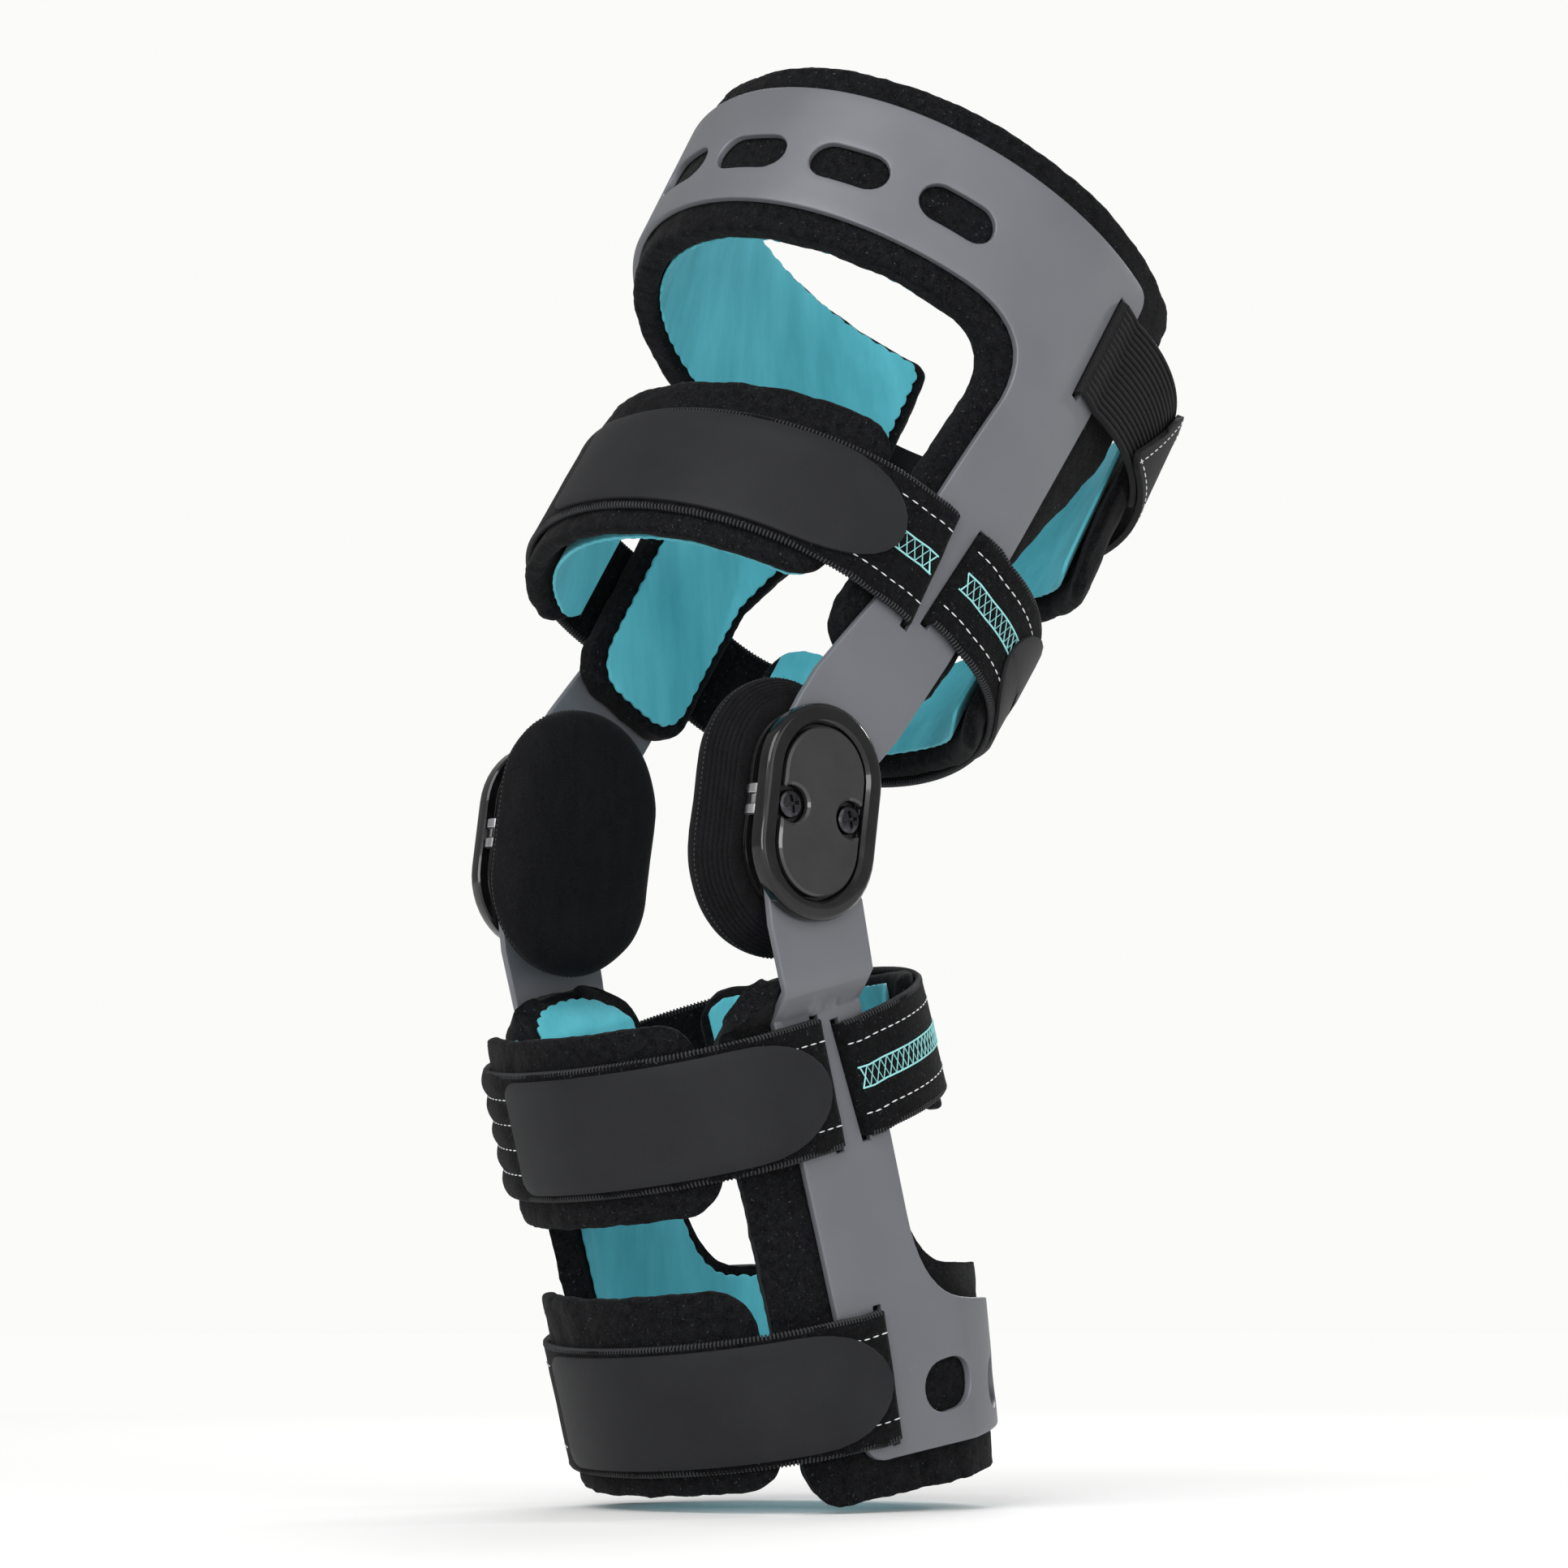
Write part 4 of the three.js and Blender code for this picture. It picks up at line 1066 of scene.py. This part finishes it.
def whole_strap(name, channelled):
    strap = STRAPS[name]
    turns = np.linspace(0, 180, 180 // ARC_STEP + 1)
    rows = []
    for z in strap_levels(strap, CHANNELS["rows"] if channelled else STRAP_ROWS):
        fold = fold_points(strap, z)
        swell = [channel_swell(strap, z, angle) if channelled else 0 for angle in turns]
        arc = [arc_point(strap, z, angle, out) for angle, out in zip(turns, swell)]
        rows.append(fold + arc + mirrored(fold)[::-1])
    half = strap["half"]
    piece = grid_piece(name + "_strap_band", rows, half, STRAP_CLOTH, STRAP, half + "_frame")
    ruffle(piece, **STRAP_SWELL)
    return piece


def cord_tree():
    """A continuous thread along each route."""
    tree = thread_tree("laid_thread", {"Radius": 0.0003})
    given = wired(tree, "NodeGroupInput").outputs
    route = wired(tree, "GeometryNodeMeshToCurve", None, {"Mesh": given["Route"]})
    round_thread = {"Resolution": 6, "Radius": given["Radius"]}
    ring = wired(tree, "GeometryNodeCurvePrimitiveCircle", None, round_thread)
    drawn = {"Curve": route.outputs[0], "Profile Curve": ring.outputs[0], "Fill Caps": True}
    tube = wired(tree, "GeometryNodeCurveToMesh", None, drawn)
    return close_tree(tree, tube.outputs[0], given["Thread"])


LAID_THREAD = cord_tree()


def outer_route(strap, z, until, offset, start=0):
    """Along the strap's outer face at one height, from the near slot to an angle of its arc."""
    fold = fold_points(strap, z, offset)[-2:] if start == 0 else []
    turns = np.linspace(start, until, max(2, int((until - start) / 2)) + 1)
    return fold + [arc_point(strap, z, angle, offset) for angle in turns]


def lattice_routes(strap, until, offset):
    """Crossed zigzags between two rails, along the strap's middle by the near slot."""
    z, half = strap["mid"], LATTICE["height"] / 2
    rails = [outer_route(strap, z + up, until, offset) for up in (-half, half)]
    run = np.array(outer_route(strap, z, until, offset))
    length = np.concatenate([[0], np.cumsum(np.linalg.norm(np.diff(run, axis=0), axis=1))])
    count = int(length[-1] / LATTICE["pitch"] * 2)
    along = np.linspace(LATTICE["start"], length[-1], count)

    def at(distance, up):
        x, y, z = (np.interp(distance, length, run[:, k]) for k in range(3))
        return np.array((x, y, z + up * half))

    zigzags = [[at(d, phase * (-1) ** k) for k, d in enumerate(along)] for phase in (-1, 1)]
    return rails + zigzags


STITCHED = {
    "front_thigh": {"near": 16, "far": 50, "lattice": 12, "channelled": False},
    "rear_thigh": {"near": 32, "far": 46, "lattice": 30, "channelled": False},
    "front_calf": {"near": 8, "far": 24, "lattice": 0, "channelled": True},
    "rear_calf": {"near": 86, "far": 26, "lattice": 84, "channelled": False},
    "shin": {"near": 8, "far": 54, "lattice": 0, "channelled": False},
}

for name, sewn in STITCHED.items():
    strap = STRAPS[name]
    half, middle, reach = strap["half"], strap["mid"], strap["height"] / 2
    band = whole_strap(name, sewn["channelled"])
    stands_for(band, half, name + "_strap")
    lift = STRAP / 2 + STITCH_LIFT
    rows = [middle + side * (reach - STITCH_INSET) for side in (-1, 1)]
    routes = [outer_route(strap, z, sewn["near"], lift) for z in rows]
    routes += [mirrored(outer_route(strap, z, sewn["far"], lift)) for z in rows]
    if sewn["channelled"]:
        seams = [middle - reach + 2 * reach * k / CHANNELS["count"] for k in range(1, CHANNELS["count"])]
        until = 180 - CHANNELS["start"]
        routes += [mirrored(outer_route(strap, z, until, lift, sewn["far"])) for z in seams]
    sew(name + "_stitches", STITCH_ROW, routes, half, half, "strap", WHITE_THREAD, **STITCH)
    edges = [outer_route(strap, middle + side * (reach - OVERLOCK_INSET), 180, 0) for side in (-1, 1)]
    sew(name + "_overlock", STITCH_ROW, edges, half, half, "strap", BLACK_THREAD, **OVERLOCK)
    if sewn["lattice"]:
        routes = lattice_routes(strap, sewn["lattice"], STRAP / 2 + LATTICE["lift"])
        radius = LATTICE["radius"]
        sew(name + "_lattice", LAID_THREAD, routes, half, half, "lining", AQUA_THREAD, Radius=radius)

# Upper back strap: ribbed black elastic folded through the band's slots at both ends.
# The elastics are sewn to a smooth strap that closes behind the thigh, with white stitches along the join.
ELASTIC = {"end": 44, "sink": 0.3, "thinner": 0.6, "steps": 20}
BACK_STRAP = {"start": 30, "end": 150, "height": 36, "skew": 9}
RIBS = {"count": 17, "radius": 0.8, "raise": 0.42, "inset": 1}
SEAM = {"round": 4, "inset": 2.4, "in": 2.5, "along": 40, "across": 14}
PATCH_EDGE = 0.3
PATCH_STEP = 2.5
PATCH_BLUNT = 0.05
ROUND_POINTS = 9


def ribbed_elastic():
    finish = Finish("ribbed_elastic", sheen_weight=0.02, specular_ior_level=0.15)
    knit = finish.noise(2400, 2, 0.6)
    finish.dye(knit, (0.35, (0.004, 0.004, 0.0045)), (0.7, (0.013, 0.013, 0.0145)))
    return finish.surface(0.55 + knit * 0.25, knit, 0.3, 0.2)


def smooth_webbing():
    finish = Finish("smooth_webbing", sheen_weight=0.02, specular_ior_level=0.15)
    twill = finish.noise(60, 2, 0.5, finish.stretched((1, 6, 1), "UV"))
    grain = finish.noise(1800, 2)
    tone = twill * 0.5 + grain * 0.5
    finish.dye(tone, (0.35, (0.005, 0.005, 0.0058)), (0.68, (0.015, 0.015, 0.0165)))
    return finish.surface(0.6 + grain * 0.2, tone, 0.35, 0.2)


RIBBED_ELASTIC = ribbed_elastic()
SMOOTH_WEBBING = smooth_webbing()


def stations(strap, patch, rounds):
    """Angles along a patch, close together where its rounded ends turn."""
    near, far = (math.degrees(round_end / strap["reach"]) for round_end in rounds)
    start, end = patch["start"], patch["end"]
    swing = 1 - np.cos(np.radians(np.linspace(0, 90, ROUND_POINTS)))
    count = max(2, int((end - start - near - far) / PATCH_STEP))
    middle = np.linspace(start + near, end - far, count + 1)[1:-1]
    return np.concatenate([start + near * swing, middle, (end - far * swing)[::-1]])


def end_share(strap, patch, angle, rounds, blunt):
    """Share of a patch's height that is left at an angle, where its ends turn round."""
    shares = [1]
    for inward, round_end in zip((angle - patch["start"], patch["end"] - angle), rounds):
        past = min(1, max(0, 1 - inward / math.degrees(round_end / strap["reach"])))
        corner = min(1, 2 * round_end / patch["height"])
        shares.append(1 - corner * (1 - math.sqrt(1 - past * past)))
    return max(blunt, min(shares))


def patch_point(strap, patch, angle, up, offset, share):
    z = strap["mid"] + up * patch["height"] * share / 2
    x, y, z = arc_point(strap, z, angle, offset)
    bump = patch.get("arch", 0) * math.sin(math.radians(angle)) ** 2
    return np.array((x, y, z + patch.get("lift", 0) + (bump if up * bump < 0 else 0)))


def patch_sheet(name, strap, patch, offset, thickness, rounds, material, under):
    """Sheet of cloth on a strap's arc with rounded ends."""
    middle = (patch["start"] + patch["end"]) / 2
    rows = []
    for up in np.linspace(-1, 1, STRAP_ROWS):
        row = []
        for angle in stations(strap, patch, rounds):
            share = end_share(strap, patch, angle, rounds, PATCH_BLUNT)
            slide = patch.get("skew", 0) * up * (middle - angle) / (middle - patch["start"])
            row.append(patch_point(strap, patch, angle + slide, up, offset, share))
        rows.append(row)
    return grid_piece(name, rows, strap["half"], material, thickness, under, PATCH_EDGE)


back = STRAPS["back"]
for side, flip in (("near", list), ("far", mirrored)):
    turns = np.linspace(0, ELASTIC["end"], ELASTIC["steps"])
    rows = []
    for z in strap_levels(back):
        arc = [arc_point(back, z, angle, -ELASTIC["sink"]) for angle in turns]
        rows.append(flip(fold_points(back, z) + arc))
    name, thickness = f"back_elastic_band_{side}", STRAP - ELASTIC["thinner"]
    band = grid_piece(name, rows, "thigh", RIBBED_ELASTIC, thickness, "thigh_frame")
    stands_for(band, "thigh", f"back_elastic_{side}")
    reach = back["height"] / 2 - RIBS["inset"]
    heights = np.linspace(back["mid"] - reach, back["mid"] + reach, RIBS["count"])
    ribs = [flip(outer_route(back, z, ELASTIC["end"], RIBS["raise"])) for z in heights]
    name, radius = f"back_elastic_ribs_{side}", RIBS["radius"]
    sew(name, LAID_THREAD, ribs, "thigh", "thigh", "elastic", RIBBED_ELASTIC, Radius=radius)

OVER_STRAP = STRAP / 2 + SLACK
rounds, offset = (SEAM["round"], SEAM["round"]), OVER_STRAP + STRAP / 2
name, under = "back_strap_webbing", "back_elastic_near"
webbing = patch_sheet(name, back, BACK_STRAP, offset, STRAP, rounds, SMOOTH_WEBBING, under)
stands_for(webbing, "thigh", "back_strap")
seam_lift = OVER_STRAP + STRAP + STITCH_LIFT
seam_reach = back["height"] / 2 - SEAM["inset"]
near_seam, far_seam = BACK_STRAP["start"] + SEAM["in"], BACK_STRAP["end"] - SEAM["in"]
joins = []
for side in (-1, 1):
    slide = BACK_STRAP["skew"] * side
    turns = np.linspace(near_seam + slide, far_seam - slide, SEAM["along"])
    joins.append([arc_point(back, back["mid"] + side * seam_reach, angle, seam_lift) for angle in turns])
for seam, lean in ((near_seam, 1), (far_seam, -1)):
    slide = BACK_STRAP["skew"] * lean
    joins.append([
        arc_point(back, back["mid"] + up * seam_reach, seam + slide * up, seam_lift)
        for up in np.linspace(-1, 1, SEAM["across"])
    ])
sew("back_strap_stitches", STITCH_ROW, joins, "thigh", "thigh", "strap", WHITE_THREAD, **STITCH)

# Strap pads: foam pads in black fleece under each strap, crowned and round at the edges.
# Each is faced with teal cloth on the side of the limb, its cut edge pinked like the liners'.
PAD = 7
PAD_ROUNDS = (13, 13)
LINING_SHARE = 0.9
PUFF = 1.6
PAD_END = 0.12
PAD_BLUNT = 0.3
PAD_LINING = {"rows": (-1, -0.94, -0.6, 0, 0.6, 0.94, 1), "short": 2, "edge": 0.25}
PINKING = {"samples": 5, "inward": 0.3}
UNDER_STRAP = -(STRAP / 2 + SLACK)
PADS = {
    "back": {"start": 36, "end": 144, "height": 84, "lift": -22, "arch": 18},
    "front_thigh": {"start": 16, "end": 164, "height": 58, "lift": 3},
    "rear_thigh": {"start": 26, "end": 154, "height": 56, "lift": -4, "arch": 16},
    "front_calf": {"start": 31, "end": 149, "height": 57},
    "rear_calf": {"start": 28, "end": 152, "height": 46, "arch": -7},
    "shin": {"start": 31, "end": 149, "height": 60, "lift": 4},
}
SECTION_STEPS = 28
SQUARENESS = 0.45


def crowned_section():
    """Height and depth shares round a pad's cross-section: nearly flat faces and round edges."""
    turn = np.linspace(0, 2 * math.pi, SECTION_STEPS, endpoint=False)
    up, out = np.cos(turn), np.sin(turn)
    return list(zip(np.sign(up) * np.abs(up) ** SQUARENESS, np.sign(out) * np.abs(out) ** SQUARENESS))


def strap_pad(name):
    strap, pad = STRAPS[name], PADS[name]
    rings = []
    for angle in stations(strap, pad, PAD_ROUNDS):
        share = end_share(strap, pad, angle, PAD_ROUNDS, PAD_BLUNT)
        inward = min(angle - pad["start"], pad["end"] - angle) * math.radians(strap["reach"])
        thick = PAD / 2 * math.sqrt(min(1, PAD_END + (1 - PAD_END) * inward / PAD))
        ring = []
        for up, out in crowned_section():
            past = abs(up) * pad["height"] * share - strap["height"]
            proud = PUFF * max(0, past) / (pad["height"] - strap["height"])
            offset = UNDER_STRAP - PAD / 2 + out * thick + proud
            ring.append(patch_point(strap, pad, angle, up, offset, share))
        rings.append(placed(ring, strap["half"]))
    piece = lofted(name + "_pad_foam", rings, BLACK_FLEECE)
    brushed(piece)
    return piece


def pad_lining(name):
    strap, pad = STRAPS[name], PADS[name]
    offset = UNDER_STRAP - PAD - LINING_GAP - LINING / 2
    step = math.degrees(SCALLOP["pitch"] / PINKING["samples"] / strap["reach"])
    turns = np.arange(pad["start"] + PAD_LINING["short"], pad["end"] - PAD_LINING["short"], step)
    rows = []
    for up in PAD_LINING["rows"]:
        row = []
        for k, angle in enumerate(turns):
            share = end_share(strap, pad, angle, PAD_ROUNDS, PAD_BLUNT)
            swing = abs(math.sin(math.pi * k / PINKING["samples"])) - PINKING["inward"]
            pinked = SCALLOP["depth"] * swing * 2 / pad["height"]
            edge = LINING_SHARE * (up + (math.copysign(pinked, up) if abs(up) == 1 else 0))
            row.append(patch_point(strap, pad, angle, edge, offset, share))
        rows.append(row)
    cloth, edge = name + "_lining_cloth", PAD_LINING["edge"]
    return grid_piece(cloth, rows, strap["half"], TEAL_CLOTH, LINING, name + "_pad", edge)


for name in PADS:
    half = STRAPS[name]["half"]
    stands_for(strap_pad(name), half, name + "_pad")
    stands_for(pad_lining(name), half, name + "_lining")

# Tabs: charcoal hook tape, smooth and satin on its back, laid over each strap with a rounded tip.
# They close the brace, so their tips point to the near upright, where a hand reaches them.
TAB = 1.1
TAB_GAP = 0.4
TAB_ROUNDS = (29, 5)
TABS = {
    "back": {"start": 62, "end": 132, "height": 34},
    "front_thigh": {"start": 4, "end": 104, "height": 34},
    "rear_thigh": {"start": 17, "end": 140, "height": 40, "lift": -3, "arch": 12},
    "front_calf": {"start": -18, "end": 106, "height": 34},
    "rear_calf": {"start": 80, "end": 160, "height": 29},
    "shin": {"start": -17, "end": 116, "height": 34},
}


def hook_tape():
    finish = Finish("hook_tape", sheen_weight=0.02, specular_ior_level=0.13)
    thread = finish.noise(26, 3, 0.6, finish.stretched((0.4, 9, 1), "UV"))
    grain = finish.noise(2300, 2)
    cloud = finish.noise(45, 3)
    tone = thread * 0.45 + grain * 0.2 + cloud * 0.35
    finish.dye(tone, (0.3, (0.009, 0.0092, 0.0104)), (0.72, (0.019, 0.0195, 0.0218)))
    return finish.surface(0.46 + grain * 0.16, thread * 0.4 + grain * 0.6, 0.22, 0.15)


HOOK_TAPE = hook_tape()

for name, tab in TABS.items():
    strap = STRAPS[name]
    under = OVER_STRAP + STRAP if name == "back" else STRAP / 2
    offset = under + TAB_GAP + TAB / 2
    piece = patch_sheet(name + "_tab_tape", strap, tab, offset, TAB, TAB_ROUNDS, HOOK_TAPE, name + "_strap")
    stands_for(piece, strap["half"], name + "_tab")

# Studio: a pale floor under the brace, soft light all round and a camera low at the front of the near side.
# The lens and aim give the photograph's framing, with the knee's middle left of the picture's centre.
CAMERA = {"azimuth": 51, "elevation": -6, "distance": 1.4}
PICTURE = 1932
FOCAL_PIXELS = 5740
KNEE_PIXEL = (827, 1024)
SENSOR = 36
FLOOR_SIZE = 30
FLOOR_DROP = 0.002
FLOOR_FADE = (0.25, 1.6)
FLOOR_GRAY = (0.86, 0.86, 0.855, 1)
WALL_WHITE = (0.965, 0.965, 0.955, 1)
ROOM_LIGHT = 0.42


def look(direction):
    return Vector(direction).to_track_quat("-Z", "Y").to_euler()


azimuth, elevation = math.radians(CAMERA["azimuth"]), math.radians(CAMERA["elevation"])
level = Vector((math.sin(azimuth), -math.cos(azimuth), 0))
back_ray = level * math.cos(elevation) + Vector((0, 0, math.sin(elevation)))
right = Vector((math.cos(azimuth), math.sin(azimuth), 0))
above = back_ray.cross(right)
lens = bpy.data.cameras.new("camera")
lens.sensor_width = SENSOR
lens.lens = FOCAL_PIXELS / PICTURE * SENSOR
camera = linked("camera", lens)
camera.location = back_ray * CAMERA["distance"]
aside = (PICTURE / 2 - KNEE_PIXEL[0]) / FOCAL_PIXELS
raised = (KNEE_PIXEL[1] - PICTURE / 2) / FOCAL_PIXELS
camera.rotation_euler = look(right * aside + above * raised - back_ray)
bpy.context.scene.camera = camera


def pale_floor():
    """Matt floor that grows as light as the room's walls towards its far edge."""
    finish = Finish("pale_floor", roughness=0.9, specular_ior_level=0.02, emission_strength=1.0)
    far = finish.node("ShaderNodeVectorMath", {"operation": "LENGTH"}, {0: finish.place()}, out=1)
    spread = {0: far, 1: FLOOR_FADE[0], 2: FLOOR_FADE[1], 3: 0, 4: 1}
    fade = finish.node("ShaderNodeMapRange", {"clamp": True}, spread)
    finish.feed("Base Color", finish.mix(fade, FLOOR_GRAY, (*BLACK, 1)))
    finish.feed("Emission Color", finish.mix(fade, (*BLACK, 1), WALL_WHITE))
    return finish.material


floor_height = cad_box[0][2] - FLOOR_DROP
half = FLOOR_SIZE / 2
signs = ((-1, -1), (1, -1), (1, 1), (-1, 1))
corners = [(across * half, along * half, floor_height) for across, along in signs]
floor = make_piece("floor", corners, [(0, 1, 2, 3)], pale_floor())

LIGHTS = {
    "key": {"at": (0.5, -1.3, 1.2), "size": 1.2, "watts": 22},
    "fill": {"at": (1.5, -0.2, 0.5), "size": 1.4, "watts": 9},
    "rim": {"at": (-0.9, 1.2, 1.0), "size": 1.0, "watts": 18},
    "front_glint": {"at": (0.95, -1.17, 0.15), "size": 0.5, "watts": 6},
    "rear_glint": {"at": (0.3, 1.3, 0.55), "size": 0.12, "watts": 3},
}
for name, light in LIGHTS.items():
    lamp = bpy.data.lights.new(name, "AREA")
    lamp.size = light["size"]
    lamp.energy = light["watts"]
    holder = linked(name, lamp)
    holder.location = light["at"]
    holder.rotation_euler = look(-Vector(light["at"]))

world = bpy.data.worlds.new("studio")
bpy.context.scene.world = world
world.use_nodes = True
room = world.node_tree
seen = room.nodes["Background"]
seen.inputs["Color"].default_value = WALL_WHITE
soft = wired(room, "ShaderNodeBackground", None, {"Color": WALL_WHITE, "Strength": ROOM_LIGHT})
path = wired(room, "ShaderNodeLightPath")
ways = {0: path.outputs["Is Camera Ray"], 1: soft.outputs[0], 2: seen.outputs[0]}
either = wired(room, "ShaderNodeMixShader", None, ways)
room.links.new(either.outputs[0], room.nodes["World Output"].inputs["Surface"])
bpy.context.scene.view_settings.view_transform = "Standard"
